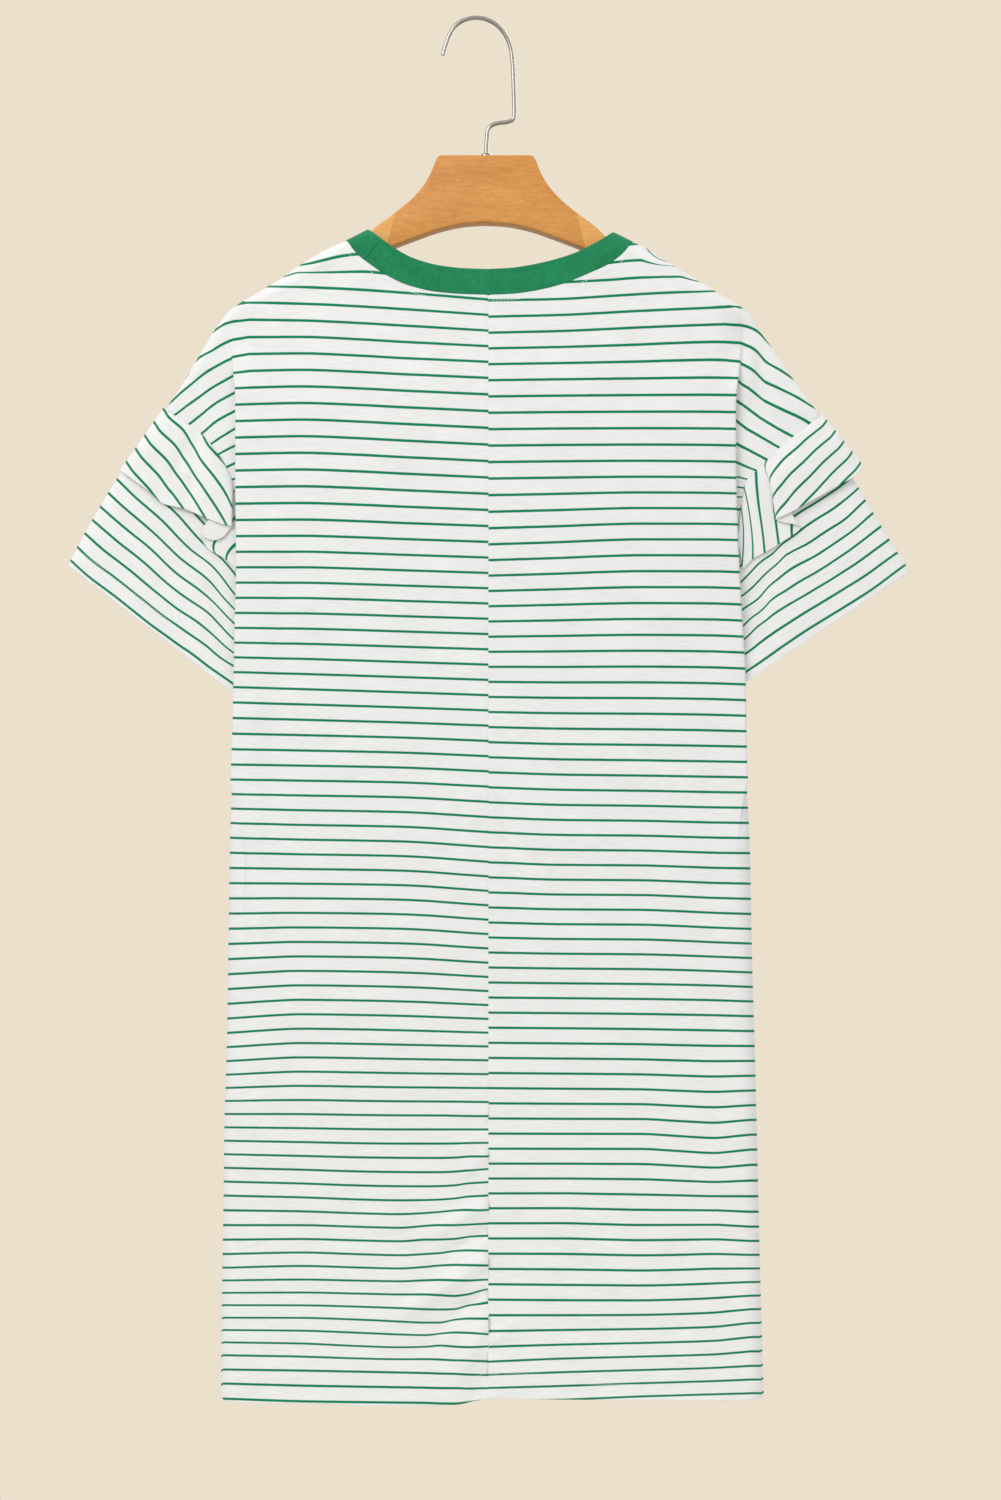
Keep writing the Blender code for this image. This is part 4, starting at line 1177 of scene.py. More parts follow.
def tint(tree, share, first, second):
    """Colour between two others by a share."""
    made = node(tree, "ShaderNodeMix", {"data_type": "RGBA"}, _0=share)
    for index, colour in ((6, first), (7, second)):
        if isinstance(colour, bpy.types.NodeSocket):
            tree.links.new(colour, made.inputs[index])
        else:
            made.inputs[index].default_value = (*colour, 1.0)
    return made.outputs[2]


def jersey(name, cloth, striped):
    """Single cotton jersey: matte and slightly uneven, with fine cross streaks from thick and thin yarn."""
    material, tree, shader = new_material(name)
    place = node(tree, "ShaderNodeUVMap", {"uv_map": "cloth"}).outputs[0]
    split = node(tree, "ShaderNodeSeparateXYZ", Vector=place)
    along, down = split.outputs[0], split.outputs[1]
    streak_place = node(tree, "ShaderNodeMapping", Vector=place, Scale=(70.0, 1500.0, 1.0)).outputs[0]
    streaks = node(tree, "ShaderNodeTexNoise", Vector=streak_place, Scale=1.0, Detail=3.0).outputs[0]
    cloud_place = node(tree, "ShaderNodeMapping", Vector=place, Scale=(25.0, 60.0, 1.0)).outputs[0]
    clouds = node(tree, "ShaderNodeTexNoise", Vector=cloud_place, Scale=1.0, Detail=4.0).outputs[0]
    uneven = maths(tree, "ADD", maths(tree, "MULTIPLY", streaks, 0.65), maths(tree, "MULTIPLY", clouds, 0.35))
    share = node(tree, "ShaderNodeMapRange", Value=uneven, _1=0.35, _2=0.65).outputs[0]
    colour = tint(tree, share, cloth.streak, cloth.white if striped else cloth.wrong_side)
    # Knit loops: 1.2 mm wales and 0.95 mm courses, about twice as coarse as real jersey so that they show
    wale = maths(tree, "PINGPONG", along, 0.0006)
    slant = maths(tree, "MULTIPLY", wale, 0.8)
    course = maths(tree, "PINGPONG", maths(tree, "ADD", down, slant), 0.000475)
    loops = maths(tree, "ADD", maths(tree, "MULTIPLY", wale, 700.0), maths(tree, "MULTIPLY", course, 900.0))
    height = maths(tree, "ADD", loops, maths(tree, "MULTIPLY", streaks, 0.8))
    bump = node(tree, "ShaderNodeBump", Height=height, Strength=0.35, Distance=0.00012)
    if striped:
        waver_place = node(tree, "ShaderNodeMapping", Vector=place, Scale=(600.0, 40.0, 1.0)).outputs[0]
        waver = node(tree, "ShaderNodeTexNoise", Vector=waver_place, Scale=1.0, Detail=2.0).outputs[0]
        shifted = maths(tree, "MULTIPLY_ADD", waver, 0.0002, down)
        off = maths(tree, "PINGPONG", shifted, STRIPE_PITCH * MM / 2)
        half = cloth.stripe_width / 2
        inside, outside = half - 0.00008, half + 0.00014
        edge = node(tree, "ShaderNodeMapRange", Value=off, _1=inside, _2=outside, _3=1.0, _4=0.0).outputs[0]
        green = tint(tree, share, cloth.stripe_dark, cloth.stripe)
        colour = tint(tree, edge, colour, green)
    tree.links.new(colour, shader.inputs["Base Color"])
    tree.links.new(bump.outputs[0], shader.inputs["Normal"])
    shader.inputs["Roughness"].default_value = 0.88
    shader.inputs["Sheen Weight"].default_value = 0.08
    shader.inputs["Sheen Roughness"].default_value = 0.5
    shader.inputs["Specular IOR Level"].default_value = 0.25
    return material


def rib_knit(name, cloth):
    """Rib knit, folded double: matte, with fine ribs across the band and a little mottle in the dye."""
    material, tree, shader = new_material(name)
    place = node(tree, "ShaderNodeUVMap", {"uv_map": "cloth"}).outputs[0]
    split = node(tree, "ShaderNodeSeparateXYZ", Vector=place)
    mottle_place = node(tree, "ShaderNodeMapping", Vector=place, Scale=(260.0, 260.0, 1.0)).outputs[0]
    mottle = node(tree, "ShaderNodeTexNoise", Vector=mottle_place, Scale=1.0, Detail=4.0).outputs[0]
    broad_place = node(tree, "ShaderNodeMapping", Vector=place, Scale=(30.0, 60.0, 1.0)).outputs[0]
    broad = node(tree, "ShaderNodeTexNoise", Vector=broad_place, Scale=1.0, Detail=2.0).outputs[0]
    # Ribs 1.5 mm apart
    rib = maths(tree, "PINGPONG", split.outputs[0], 0.00075)
    ribs = maths(tree, "MULTIPLY", rib, 1300.0)
    uneven = maths(tree, "ADD", maths(tree, "MULTIPLY", mottle, 0.5), maths(tree, "MULTIPLY", broad, 0.5))
    uneven = maths(tree, "ADD", uneven, maths(tree, "MULTIPLY", ribs, 0.08))
    share = node(tree, "ShaderNodeMapRange", Value=uneven, _1=0.38, _2=0.68).outputs[0]
    colour = tint(tree, share, cloth.band_dark, cloth.band)
    # The join across the band: a shallow groove in the bump, and painted shade that darkens the colour along
    # it
    from_join = maths(tree, "ABSOLUTE", maths(tree, "SUBTRACT", split.outputs[0], BAND_JOIN * MM))
    join = node(tree, "ShaderNodeMapRange", Value=from_join, _1=0.0002, _2=0.0007, _3=1.0, _4=0.0).outputs[0]
    join_painted_shade = tuple(0.4 * part for part in cloth.band_dark)
    colour = tint(tree, maths(tree, "MULTIPLY", join, 0.45), colour, join_painted_shade)
    height = maths(tree, "ADD", ribs, maths(tree, "MULTIPLY", mottle, 0.5))
    height = maths(tree, "SUBTRACT", height, maths(tree, "MULTIPLY", join, 3.0))
    bump = node(tree, "ShaderNodeBump", Height=height, Strength=0.4, Distance=0.0002)
    tree.links.new(colour, shader.inputs["Base Color"])
    tree.links.new(bump.outputs[0], shader.inputs["Normal"])
    shader.inputs["Roughness"].default_value = 0.85
    shader.inputs["Sheen Weight"].default_value = 0.1
    shader.inputs["Specular IOR Level"].default_value = 0.25
    return material


def beech(name, hanger):
    """Varnished beech: warm orange tan, with fine short pores along the grain and a satin surface."""
    material, tree, shader = new_material(name)
    place = node(tree, "ShaderNodeTexCoord").outputs["Object"]
    grain_place = node(tree, "ShaderNodeMapping", Vector=place, Scale=(75.0, 300.0, 620.0)).outputs[0]
    grain = node(
        tree, "ShaderNodeTexNoise", Vector=grain_place, Scale=1.0, Detail=5.0, Roughness=0.6
    ).outputs[0]
    pore_place = node(tree, "ShaderNodeMapping", Vector=place, Scale=(300.0, 700.0, 1900.0)).outputs[0]
    pores = node(tree, "ShaderNodeTexNoise", Vector=pore_place, Scale=1.0, Detail=2.0).outputs[0]
    broad_place = node(tree, "ShaderNodeMapping", Vector=place, Scale=(12.0, 60.0, 40.0)).outputs[0]
    broad = node(tree, "ShaderNodeTexNoise", Vector=broad_place, Scale=1.0, Detail=3.0).outputs[0]
    bands = maths(tree, "ADD", maths(tree, "MULTIPLY", grain, 0.6), maths(tree, "MULTIPLY", broad, 0.4))
    share = node(tree, "ShaderNodeMapRange", Value=bands, _1=0.36, _2=0.64).outputs[0]
    colour = tint(tree, share, hanger.wood_dark, hanger.wood)
    pore = node(tree, "ShaderNodeMapRange", Value=pores, _1=0.54, _2=0.72, _3=0.0, _4=0.5).outputs[0]
    colour = tint(tree, pore, colour, hanger.wood_pore)
    split = node(tree, "ShaderNodeSeparateXYZ", Vector=place)
    aside = maths(tree, "ABSOLUTE", maths(tree, "SUBTRACT", split.outputs[0], HANGER_X * MM))
    joint = maths(tree, "MULTIPLY_ADD", split.outputs[2], 0.25, aside)
    arm = node(tree, "ShaderNodeMapRange", Value=joint, _1=0.0318, _2=0.0324).outputs[0]
    turned = node(
        tree, "ShaderNodeMapping", Vector=place, Rotation=(0.0, 0.7, 0.0), Scale=(80.0, 300.0, 620.0)
    ).outputs[0]
    arm_grain = node(tree, "ShaderNodeTexNoise", Vector=turned, Scale=1.0, Detail=4.0).outputs[0]
    arm_share = node(tree, "ShaderNodeMapRange", Value=arm_grain, _1=0.36, _2=0.64).outputs[0]
    arm_colour = tint(tree, arm_share, hanger.wood, hanger.wood_light)
    colour = tint(tree, arm, colour, arm_colour)
    relief = maths(tree, "ADD", grain, pores)
    bump = node(tree, "ShaderNodeBump", Height=relief, Strength=0.15, Distance=0.0001)
    tree.links.new(colour, shader.inputs["Base Color"])
    tree.links.new(bump.outputs[0], shader.inputs["Normal"])
    shader.inputs["Roughness"].default_value = 0.42
    shader.inputs["Specular IOR Level"].default_value = 0.4
    return material


def steel(name, hanger):
    """Bright zinc plated steel wire: metal with a soft gloss and faint drawing lines."""
    material, tree, shader = new_material(name)
    place = node(tree, "ShaderNodeTexCoord").outputs["Object"]
    scuff_place = node(tree, "ShaderNodeMapping", Vector=place, Scale=(400.0, 400.0, 400.0)).outputs[0]
    scuffs = node(tree, "ShaderNodeTexNoise", Vector=scuff_place, Scale=1.0, Detail=4.0).outputs[0]
    rough = node(tree, "ShaderNodeMapRange", Value=scuffs, _3=0.2, _4=0.3).outputs[0]
    tree.links.new(rough, shader.inputs["Roughness"])
    shader.inputs["Base Color"].default_value = (*hanger.steel, 1.0)
    shader.inputs["Metallic"].default_value = 1.0
    bump = node(tree, "ShaderNodeBump", Height=scuffs, Strength=0.1, Distance=0.0001)
    tree.links.new(bump.outputs[0], shader.inputs["Normal"])
    return material


def plaster(name, colour):
    """Pale matte floor."""
    material, tree, shader = new_material(name)
    place = node(tree, "ShaderNodeTexCoord").outputs["Object"]
    mottle = node(tree, "ShaderNodeTexNoise", Vector=place, Scale=12.0, Detail=4.0).outputs[0]
    share = node(tree, "ShaderNodeMapRange", Value=mottle, _3=0.0, _4=0.1).outputs[0]
    shade = tuple(0.85 * part for part in colour)
    tree.links.new(tint(tree, share, colour, shade), shader.inputs["Base Color"])
    shader.inputs["Roughness"].default_value = 0.9
    return material


# ---------------------------------------------------------------- pieces


def add_grid(bm, rows, ring, layer):
    """Quads between neighbouring rows of (x, y, z, u, v) points, with their places on the flat cloth."""
    grid = [[bm.verts.new(Vector(point[:3]) * MM) for point in row] for row in rows]
    faces = []
    for upper, lower, row, following in zip(grid, grid[1:], rows, rows[1:]):
        count = len(upper) if ring else len(upper) - 1
        for column in range(count):
            other = (column + 1) % len(upper)
            corners = (upper[column], lower[column], lower[other], upper[other])
            places = (row[column], following[column], following[other], row[other])
            face = bm.faces.new(corners)
            for loop, place in zip(face.loops, places):
                loop[layer].uv = (place[3] * MM, place[4] * MM)
            faces.append(face)
    return faces


def sheet_piece(name, grids, thickness, materials, ring=False):
    """A cloth piece: its middle surface with walls to both sides, the second material on its wrong side."""
    bm = bmesh.new()
    layer = bm.loops.layers.uv.new("cloth")
    for rows in grids:
        faces = add_grid(bm, rows, ring, layer)
        outermost = max(faces, key=lambda face: abs(face.calc_center_median().y))
        outermost.normal_update()
        if outermost.normal.y * outermost.calc_center_median().y < 0:
            bmesh.ops.reverse_faces(bm, faces=faces)
    bmesh.ops.remove_doubles(bm, verts=bm.verts, dist=WELD)
    mesh = bpy.data.meshes.new(name)
    bm.to_mesh(mesh)
    bm.free()
    for material in materials:
        mesh.materials.append(material)
    mesh.shade_smooth()
    piece = bpy.data.objects.new(name, mesh)
    bpy.context.scene.collection.objects.link(piece)
    wall = piece.modifiers.new("wall", "SOLIDIFY")
    wall.thickness = thickness
    wall.offset = 0.0
    wall.material_offset = len(materials) - 1
    wall.material_offset_rim = 0
    return piece


def hang(piece, nodes=()):
    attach(piece, "root")
    if nodes:
        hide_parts(*nodes)


def stitch_at(bm, start, end, outwards, radius):
    """One rounded stitch lying on the cloth from start to end."""
    along = (end - start).normalized()
    aside = along.cross(outwards).normalized()
    middle = (start + end) / 2
    length = (end - start).length / 2
    rings = []
    for place, swell in ((-0.8, 0.75), (0.8, 0.75)):
        ring = []
        for side in range(STITCH_SIDES):
            angle = 2 * math.pi * side / STITCH_SIDES
            across = aside * math.cos(angle) + outwards * math.sin(angle)
            ring.append(bm.verts.new(middle + along * place * length + across * radius * swell))
        rings.append(ring)
    tips = [bm.verts.new(middle - along * length), bm.verts.new(middle + along * length)]
    for side in range(STITCH_SIDES):
        other = (side + 1) % STITCH_SIDES
        bm.faces.new((rings[0][side], rings[0][other], rings[1][other], rings[1][side]))
        bm.faces.new((tips[0], rings[0][other], rings[0][side]))
        bm.faces.new((tips[1], rings[1][side], rings[1][other]))


def stitched_rows(name, paths, length, gap, radius, material):
    """Rows of stitches along paths of (point, outwards) places, joined as one piece."""
    bm = bmesh.new()
    for path in paths:
        lengths = [0.0]
        for (first, _), (second, _) in zip(path, path[1:]):
            lengths.append(lengths[-1] + (second - first).length)

        def place_at(run):
            index = min(len(path) - 2, max(0, bisect_right(lengths, run) - 1))
            share = (run - lengths[index]) / (lengths[index + 1] - lengths[index])
            point = path[index][0].lerp(path[index + 1][0], share)
            return point, path[index][1].lerp(path[index + 1][1], share).normalized()

        run = gap
        while run + length < lengths[-1]:
            start, outwards = place_at(run)
            end, _ = place_at(run + length)
            stitch_at(bm, start, end, outwards, radius)
            run += length + gap
    bmesh.ops.recalc_face_normals(bm, faces=bm.faces)
    mesh = bpy.data.meshes.new(name)
    bm.to_mesh(mesh)
    bm.free()
    mesh.materials.append(material)
    mesh.shade_smooth()
    piece = bpy.data.objects.new(name, mesh)
    bpy.context.scene.collection.objects.link(piece)
    return piece


def cloth_face(side, face, x, drop, lift):
    """Point on the outer face of an open part of the body, lifted off it, in metres."""
    depth = open_depth(side, drop, SIGNS[side] * x)
    name = "front" if face == FRONT else "back_" + side
    depth += crease_height(CREASES[name], x, drop)
    if face == BACK:
        depth -= groove(x)
    return Vector((x, face * (depth + lift / MM), -drop)) * MM


def body_path(side, face, places, lift):
    """A stitching path over the body through (x, drop) places."""
    return [(cloth_face(side, face, x, drop, lift), Vector((0, face, 0))) for x, drop in places]


def neck_paths(lift):
    """The topstitching just outside the neckband, on both faces."""
    paths = []
    for side in SIGNS:
        for face, band in ((BACK, BACK_BAND[side]), (FRONT, front_band(side))):
            places = []
            for row in band_places(band, 60)[2:]:
                seam, top = Vector((row.seam_x, row.seam_drop)), Vector((row.top_x, row.top_drop))
                x, drop = seam + (seam - top).normalized() * NECK_STITCH_OFFSET
                places.append((x, drop))
            paths.append(body_path(side, face, places, lift))
    return paths


def hem_paths(lift):
    """Two rows of stitching above the hem, on both faces."""
    paths = []
    for side in SIGNS:
        edge = body_edge_outward(side, 1045.0)
        for offset in HEM_STITCH_OFFSETS:
            for face in (BACK, FRONT):
                places = []
                for step in range(81):
                    x = mix(CENTRE_X + SIGNS[side] * 0.3, SIGNS[side] * (edge - 1.5), step / 80)
                    bottom = HEM_LINE(x) if face == BACK else FRONT_HEM_DROP
                    places.append((x, bottom - offset))
                paths.append(body_path(side, face, places, lift))
    return paths


def cuff_paths(side, lift):
    """Two rows of stitching round a cuff."""
    rings = sleeve_rings(side)
    count = len(rings[0])
    paths = []
    for offset in CUFF_STITCH_OFFSETS:
        path = []
        for column in range(count + 1):
            track = [Vector(ring[column % count][:3]) for ring in rings]
            aside = [Vector(ring[(column + 1) % count][:3]) for ring in rings]
            back_up = 0.0
            level = len(track) - 1
            while back_up < offset:
                back_up += (track[level] - track[level - 1]).length
                level -= 1
            share = (back_up - offset) / (track[level + 1] - track[level]).length
            point = track[level].lerp(track[level + 1], share)
            outwards = (aside[level] - track[level]).cross(track[level + 1] - track[level]).normalized()
            if outwards.y * track[level].y < 0:
                outwards.negate()
            path.append(((point + outwards * lift / MM) * MM, outwards))
        paths.append(path)
    return paths


# ---------------------------------------------------------------- settings that a user may change


def colour_setting(name, description, text):
    return bpy.props.FloatVectorProperty(
        name=name,
        description=description,
        subtype="COLOR",
        size=3,
        min=0.0,
        max=1.0,
        default=linear_from_hex(text),
    )


def size_setting(name, description, millimetres):
    return bpy.props.FloatProperty(
        name=name,
        description=description,
        default=millimetres * MM,
        min=0.0,
        precision=5,
        unit="LENGTH",
        subtype="DISTANCE",
    )


class ClothSettings(bpy.types.PropertyGroup):
    """Cloth thicknesses, stripe width and colours."""

    jersey_thickness: size_setting("Jersey", "Thickness of the jersey walls", 0.9)
    ruffle_thickness: size_setting("Ruffle", "Thickness of the ruffles' jersey", 0.8)
    band_thickness: size_setting("Neckband", "Thickness of the folded rib", 2.0)
    stripe_width: size_setting("Stripe", "Width of one stripe", 1.85)
    white: colour_setting("White", "Ground colour of the jersey", "F5F6F5")
    streak: colour_setting("Streak", "Thin streaks across the jersey", "E7E8E7")
    wrong_side: colour_setting("Wrong side", "Inside of the jersey", "F1F0EC")
    stripe: colour_setting("Stripe", "Green of the stripes", "008A5E")
    stripe_dark: colour_setting("Dark stripe", "Darker yarn in the stripes", "007A50")
    band: colour_setting("Neckband", "Green of the rib", "1F8E5E")
    band_dark: colour_setting("Dark neckband", "Darker mottle of the rib", "147749")


class StitchSettings(bpy.types.PropertyGroup):
    """Size and spacing of the stitches."""

    neck_length: size_setting("Neck stitch", "Length of one stitch at the neck", 2.3)
    neck_gap: size_setting("Neck gap", "Gap between two stitches at the neck", 0.5)
    hem_length: size_setting("Hem stitch", "Length of one stitch at the hem and cuffs", 1.3)
    hem_gap: size_setting("Hem gap", "Gap between two stitches at the hem and cuffs", 0.9)
    radius: size_setting("Radius", "Radius of the thread", 0.25)
    thread: colour_setting("Thread", "Colour of the thread", "F1F4F1")


class HangerSettings(bpy.types.PropertyGroup):
    """Edge rounding and colours of the hanger."""

    bevel: size_setting("Edge rounding", "Rounding of the wood's edges", 1.4)
    wood: colour_setting("Beech", "Main colour of the wood", "E2A052")
    wood_dark: colour_setting("Dark grain", "Darker bands of the grain", "CB8438")
    wood_light: colour_setting("Arm", "Lighter wood of the arms", "E8AE64")
    wood_pore: colour_setting("Pores", "Short dark pores", "A9652A")
    steel: colour_setting("Steel", "Colour of the hook's steel", "AAA59C")


class StageSettings(bpy.types.PropertyGroup):
    """Floor, light and camera."""

    floor_size: size_setting("Floor size", "Side of the square floor", 1400.0)
    floor_drop: size_setting("Floor drop", "Height of the origin above the floor", 1400.0)
    camera_distance: size_setting("Camera distance", "Camera to the garment", CAMERA_DISTANCE)
    floor: colour_setting("Floor", "Colour of the floor", "E9E4DA")
    wall: colour_setting("Background", "Plain background behind the garment", "EBE0CC")


class Shop:
    """The materials, each made once."""

    made = {}

    @classmethod
    def get(cls, name):
        scene = bpy.context.scene
        cloth, hanger = scene.dress_cloth, scene.dress_hanger
        makers = {
            "cotton_jersey": lambda: jersey("cotton_jersey", cloth, True),
            "jersey_wrong_side": lambda: jersey("jersey_wrong_side", cloth, False),
            "rib_knit": lambda: rib_knit("rib_knit", cloth),
            "cotton_thread": lambda: thread("cotton_thread", scene.dress_stitches),
            "varnished_beech": lambda: beech("varnished_beech", hanger),
            "plated_steel": lambda: steel("plated_steel", hanger),
        }
        if name not in cls.made:
            cls.made[name] = makers[name]()
        return cls.made[name]


def thread(name, stitches):
    """Spun sewing thread: matte, with a fine twist."""
    material, tree, shader = new_material(name)
    place = node(tree, "ShaderNodeTexCoord").outputs["Object"]
    twist = node(tree, "ShaderNodeTexNoise", Vector=place, Scale=2500.0, Detail=2.0).outputs[0]
    share = node(tree, "ShaderNodeMapRange", Value=twist, _3=0.0, _4=0.25).outputs[0]
    white = tuple(stitches.thread)
    tree.links.new(tint(tree, share, white, tuple(0.7 * part for part in white)), shader.inputs["Base Color"])
    shader.inputs["Roughness"].default_value = 0.8
    return material


# ---------------------------------------------------------------- operators


class DRESS_OT_back(bpy.types.Operator):
    """Left and right back panels, each with its drop shoulder grown on."""

    bl_idname = "dress.back"
    bl_label = "Back panels"

    def execute(self, context):
        cloth = context.scene.dress_cloth
        materials = [Shop.get("cotton_jersey"), Shop.get("jersey_wrong_side")]
        for side in SIGNS:
            rows = half_panel(side, BACK)
            piece = sheet_piece("back_cloth_" + side, [rows], cloth.jersey_thickness, materials)
            hang(piece, ["back_" + side])
        return {"FINISHED"}


class DRESS_OT_front(bpy.types.Operator):
    """Front panel, one piece on the fold."""

    bl_idname = "dress.front"
    bl_label = "Front panel"

    def execute(self, context):
        cloth = context.scene.dress_cloth
        materials = [Shop.get("cotton_jersey"), Shop.get("jersey_wrong_side")]
        grids = [half_panel(side, FRONT) for side in SIGNS]
        piece = sheet_piece("front_cloth", grids, cloth.jersey_thickness, materials)
        hang(piece, ["front"])
        return {"FINISHED"}


class DRESS_OT_sleeves(bpy.types.Operator):
    """Wide short sleeves."""

    bl_idname = "dress.sleeves"
    bl_label = "Sleeves"

    def execute(self, context):
        cloth = context.scene.dress_cloth
        materials = [Shop.get("cotton_jersey"), Shop.get("jersey_wrong_side")]
        for side in SIGNS:
            rings = sleeve_rings(side)
            grids = [rings]
            piece = sheet_piece("sleeve_cloth_" + side, grids, cloth.jersey_thickness, materials, ring=True)
            hang(piece, ["sleeve_" + side])
        return {"FINISHED"}


class DRESS_OT_ruffles(bpy.types.Operator):
    """Ruffles over the sleeves, set into the armhole seams."""

    bl_idname = "dress.ruffles"
    bl_label = "Ruffles"

    def execute(self, context):
        cloth = context.scene.dress_cloth
        materials = [Shop.get("cotton_jersey"), Shop.get("jersey_wrong_side")]
        for side in SIGNS:
            rows = ruffle_rows(side)
            piece = sheet_piece("ruffle_cloth_" + side, [rows], cloth.ruffle_thickness, materials)
            hang(piece, ["ruffle_" + side])
        return {"FINISHED"}


class DRESS_OT_neckband(bpy.types.Operator):
    """Rib neckband, one folded ring."""

    bl_idname = "dress.neckband"
    bl_label = "Neckband"

    def execute(self, context):
        cloth = context.scene.dress_cloth
        rows = neckband_rows()
        columns = [[row[column] for row in rows] for column in range(len(rows[0]))]
        materials = [Shop.get("rib_knit")]
        piece = sheet_piece("neckband_rib", [columns], cloth.band_thickness, materials, ring=True)
        soften = piece.modifiers.new("soft_edges", "BEVEL")
        soften.width = 0.8 * MM
        soften.segments = 3
        soften.limit_method = "ANGLE"
        soften.angle_limit = math.radians(50)
        hang(piece, ["neckband"])
        return {"FINISHED"}


class DRESS_OT_stitching(bpy.types.Operator):
    """Topstitching at the neck, and twin rows at the hem and cuffs."""

    bl_idname = "dress.stitching"
    bl_label = "Stitching"

    def execute(self, context):
        scene = context.scene
        lift = scene.dress_cloth.jersey_thickness / 2
        stitches, material = scene.dress_stitches, Shop.get("cotton_thread")
        rows = {"neck_stitches": neck_paths(lift), "hem_stitches": hem_paths(lift)}
        for side in SIGNS:
            rows["cuff_stitches_" + side] = cuff_paths(side, lift)
        for name, paths in rows.items():
            if name == "neck_stitches":
                length, gap = stitches.neck_length, stitches.neck_gap
            else:
                length, gap = stitches.hem_length, stitches.hem_gap
            hang(stitched_rows(name, paths, length, gap, stitches.radius, material))
        return {"FINISHED"}


def start_piece():
    if bpy.context.object and bpy.context.object.mode != "OBJECT":
        bpy.ops.object.mode_set(mode="OBJECT")
    bpy.ops.object.select_all(action="DESELECT")


def finish_piece(piece, name, material, angle=35.0):
    """Names a piece, applies its place, shades it smooth up to its real edges and gives it its material."""
    bpy.ops.object.mode_set(mode="OBJECT")
    piece.name = name
    piece.data.name = name
    bpy.ops.object.transform_apply(location=True, rotation=True, scale=True)
    bpy.ops.object.shade_smooth_by_angle(angle=math.radians(angle))
    piece.data.materials.clear()
    piece.data.materials.append(material)
    return piece


def outline_points(rows):
    """World (x, drop) points of a half outline and its mirror image about the axis, curved between rows."""
    lengths = [0.0]
    for first, second in zip(rows, rows[1:]):
        lengths.append(lengths[-1] + math.dist(first, second))
    from_axis = Line(lengths, [row.from_axis for row in rows])
    drop = Line(lengths, [row.drop for row in rows])
    half = []
    for first, second in zip(lengths, lengths[1:]):
        count = max(1, round((second - first) / 3.0))
        half += [mix(first, second, step / count) for step in range(count)]
    half = [(from_axis(place), drop(place)) for place in half] + [(rows[-1].from_axis, rows[-1].drop)]
    right = [(HANGER_X + across, down) for across, down in half]
    left = [(HANGER_X - across, down) for across, down in half if across > 0.01]
    return right + left[::-1]


class DRESS_OT_hanger(bpy.types.Operator):
    """Shaped beech body of the hanger."""

    bl_idname = "dress.hanger"
    bl_label = "Hanger"

    def execute(self, context):
        start_piece()
        outline = outline_points(HANGER_TOP + HANGER_LOWER)
        bpy.ops.mesh.primitive_circle_add(vertices=len(outline), radius=0.1, fill_type="NGON")
        piece = context.object
        for vertex, (x, drop) in zip(piece.data.vertices, outline):
            vertex.co = Vector((x, -HANGER_THICKNESS / 2, -drop)) * MM
        bpy.ops.object.mode_set(mode="EDIT")
        bpy.ops.mesh.select_all(action="SELECT")
        bpy.ops.mesh.extrude_region_move(TRANSFORM_OT_translate={"value": (0, HANGER_THICKNESS * MM, 0)})
        bpy.ops.mesh.select_all(action="SELECT")
        bpy.ops.mesh.normals_make_consistent(inside=False)
        bpy.ops.mesh.select_all(action="DESELECT")
        bpy.ops.mesh.select_mode(type="FACE")
        mesh = bmesh.from_edit_mesh(piece.data)
        for face in mesh.faces:
            face.select = abs(face.normal.y) > 0.9
        bmesh.update_edit_mesh(piece.data)
        bpy.ops.mesh.region_to_loop()
        bpy.ops.mesh.bevel(offset=context.scene.dress_hanger.bevel, segments=4, profile=0.5, affect="EDGES")
        finish_piece(piece, "hanger_beech", Shop.get("varnished_beech"), 30.0)
        hang(piece, ["hanger_wood"])
        return {"FINISHED"}


class DRESS_OT_hook(bpy.types.Operator):
    """Cranked steel hook, and the small domed collar where it enters the wood."""

    bl_idname = "dress.hook"
    bl_label = "Hook"

    def execute(self, context):
        start_piece()
        bpy.ops.curve.primitive_bezier_curve_add()
        hook = context.object
        spline = hook.data.splines[0]
        spline.bezier_points.add(len(HOOK_ROUTE) - 2)
        for point, place in zip(spline.bezier_points, HOOK_ROUTE):
            point.co = Vector((place.x, 0, -place.drop)) * MM
            point.handle_left_type = point.handle_right_type = "AUTO"
        spline.resolution_u = 8
        hook.data.dimensions = "3D"
        hook.data.bevel_depth = HOOK_RADIUS * MM
        hook.data.bevel_resolution = 5
        hook.data.use_fill_caps = True
        bpy.ops.object.convert(target="MESH")
        hook = context.object
        round_tip(hook)
        finish_piece(hook, "hook_steel", Shop.get("plated_steel"), 50.0)
        hang(hook, ["hanger_hook"])
        start_piece()
        height = FERRULE_HEIGHT * MM
        place = (HANGER_X * MM, 0, -NECK_TOP_DROP * MM + height / 2)
        bpy.ops.mesh.primitive_cylinder_add(
            vertices=48, radius=FERRULE_RADIUS * MM, depth=height, location=place
        )
        dome = context.object
        bpy.ops.object.mode_set(mode="EDIT")
        bpy.ops.mesh.select_all(action="DESELECT")
        bpy.ops.mesh.select_mode(type="FACE")
        mesh = bmesh.from_edit_mesh(dome.data)
        for face in mesh.faces:
            face.select = face.normal.z > 0.9
        bmesh.update_edit_mesh(dome.data)
        bpy.ops.mesh.bevel(offset=1.9 * MM, segments=6, profile=0.5, affect="EDGES")
        finish_piece(dome, "ferrule_steel", Shop.get("plated_steel"), 60.0)
        hang(dome, ["ferrule"])
        return {"FINISHED"}


